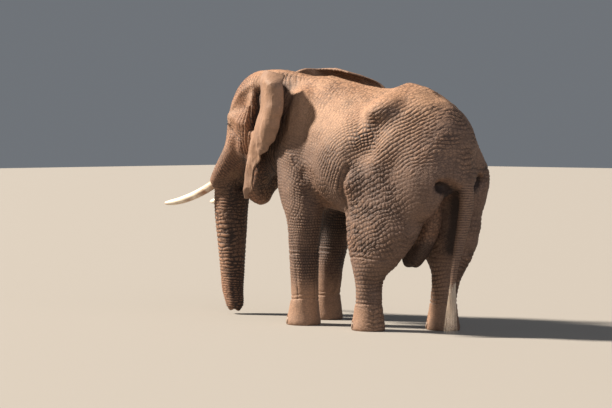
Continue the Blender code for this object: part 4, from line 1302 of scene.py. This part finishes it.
def hairs(name, roots, ways, lengths, fall, thickness, look):
    """Rods from the roots along the ways; fall is how far each bends down over its length."""
    t = np.linspace(0.0, 1.0, SEGMENTS + 1)
    ways = unit(ways)
    line = roots[:, None] + ways[:, None] * (lengths[:, None] * t)[..., None]
    line[..., 2] -= fall * lengths[:, None] * t**2
    line[..., 2] = np.maximum(line[..., 2], HAIR_CLEARANCE)
    side_way = unit(np.cross(ways, (0.31, 0.17, 0.93)))
    other_way = np.cross(ways, side_way)
    thin = thickness * (1.0 - 0.75 * t)[None, :, None, None]
    turn = np.arange(3) * 2 * math.pi / 3
    around = np.cos(turn)[:, None] * side_way[:, None] + np.sin(turn)[:, None] * other_way[:, None]
    spots = (line[:, :, None] + thin * around[:, None]).reshape(-1, 3)
    made = build(name, spots, banded(np.arange(len(spots)).reshape(len(roots), SEGMENTS + 1, 3)))
    base = np.array([flat_place(root) for root in roots])
    within = np.stack(np.broadcast_arrays(turn[None, :] / 6.3, t[:, None]), axis=-1)
    spot_flat = (base[:, None, None] + (within - 0.5) * HAIR_PATCH).reshape(-1, 2)
    lay_flat(made.data, np.clip(spot_flat[column(made.data.loops, "vertex_index")], 0.0, 1.0))
    complete(made, look, "hide")
    print(name, len(roots), "hairs")


def luck_of(number, seed):
    return scramble(np.arange(number), 0, 0, seed)


def some(mask, wanted, seed):
    """A fixed scattered choice of the skin's points inside mask."""
    inside = np.nonzero(mask)[0]
    return inside[np.argsort(scramble(inside, 0, 0, seed), kind="stable")[:wanted]]


# %% Tail hair, bristles and lashes
pale_hair, tree, shader = material("pale_hair", 0.5)
shader.inputs["Base Color"].default_value = (0.62, 0.52, 0.42, 1.0)
dark_hair, tree, shader = material("dark_hair", 0.5)
shader.inputs["Base Color"].default_value = (0.035, 0.022, 0.016, 1.0)
skin_normals = normals_of(points, faces)

chosen = some((tail > 0.6) & (z < 0.66), 190, 5)
spreading = (0.02 + 0.09 * luck_of(len(chosen), 7))[:, None]
ways = np.array((-0.03, -0.03, -1.0)) + skin_normals[chosen] * spreading
lengths = np.minimum(0.20 + 0.34 * luck_of(len(chosen), 6), points[chosen, 2] - 0.05)
hairs("tail_hair", points[chosen], ways, lengths, 0.05, 0.0017, pale_hair)


def bristles(name, chosen, seed, lean, shortest, spare):
    """Short stiff hairs on chosen points; lean tilts them all one way."""
    own_way = np.stack([luck_of(len(chosen), seed + k) - 0.5 for k in (1, 2, 3)], axis=1)
    out = skin_normals[chosen]
    lengths = shortest + spare * luck_of(len(chosen), seed)
    hairs(name, points[chosen] - 0.002 * out, out + lean + 0.35 * own_way, lengths, 0.25, 0.0006, dark_hair)


chin = some((jaw > 0.7) & (nz < -0.1) & (x < -1.2), 110, 8)
low_trunk = some((trunk > 0.7) & (z < 1.3), 170, 9)
crown = some((head > 0.7) & (nz > 0.35) & (x < -0.95), 130, 10)
bristles("bristles", np.concatenate((chin, low_trunk, crown)), 11, 0.0, 0.018, 0.026)
spine = some((torso > 0.7) & (nz > 0.55) & (x > -0.35), 220, 15)
bristles("back_bristles", spine, 16, np.array((0.5, 0.0, 0.0)), 0.016, 0.022)

LASHES = 26
LASH_HALF = 0.0165
lash_roots, lash_ways = [], []
for name in EYES:
    centre, radius, outward, forward, up = eye_frame(name)
    for a, luck in zip(np.linspace(-LASH_HALF, LASH_HALF, LASHES), luck_of(LASHES, 20)):
        lash_roots.append(centre + forward * a + up * (lid_height(a) + 0.0025) + outward * 0.0225)
        lash_ways.append(outward * 0.85 + forward * a * 16.0 + up * (0.05 + 0.12 * luck))
lengths = 0.026 + 0.018 * luck_of(len(lash_roots), 21)
hairs("lashes", np.array(lash_roots), np.array(lash_ways), lengths, 0.75, 0.0007, dark_hair)

# %% [markdown]
# ## Tusks
# A tusk is a long bent cone of ivory, cream where it is rubbed, browner along its lower
# side and stained brown towards the lip. The solid has the right shape but shows its facets, so a
# smoothly divided copy stands in for it.

# %% Ivory
def smoothed(name, swell, ending):
    """A smoothly divided copy of a solid, swollen a little so that it keeps its size."""
    piece = with_modifier(swollen(name, swell), "SUBSURF", levels=3)
    piece.name = name + ending
    return piece


ivory, tree, shader = material("tusk_ivory", 0.38)
place = place_on_piece()
streak = mottle(stretched(place, (1.5, 14.0, 14.0)), 3.0, 6.0, 0.65)
facing = node("SeparateXYZ", {0: node("NewGeometry", {}).outputs["Normal"]})
under = curve(facing.outputs["Z"], 0.25, -0.6)
root = curve(node("SeparateXYZ", {0: place}).outputs["X"], -2.05, -1.70)
browning = times(plus(times(under, 0.85), root), curve(mottle(place, 5.0), 0.3, 0.65), True)
colour = mixed(curve(streak, 0.4, 0.75), (0.78, 0.70, 0.56), (0.60, 0.49, 0.35))
finish(shader, mixed(browning, colour, (0.28, 0.13, 0.06)), streak, 0.35, 0.003)
for name in ("left_tusk", "right_tusk"):
    complete(smoothed(name, 0.002, "_ivory"), ivory, "ivory", name)
print("tusks made")

# %% [markdown]
# ## Toenails
# A toenail is a low dome of mottled grey horn at the front of the foot, four to a forefoot and
# three to a hind foot. The solids need only the same smoothing as the tusks.

# %% Horn
horn, tree, shader = material("nail_horn", 0.55)
finish(shader, mixed(mottle(place_on_piece(), 30.0), (0.30, 0.21, 0.15), (0.14, 0.095, 0.07)))
for name in nails:
    complete(smoothed(name, 0.0015, "_horn"), horn, "horn", name)
print(len(nails), "toenails")
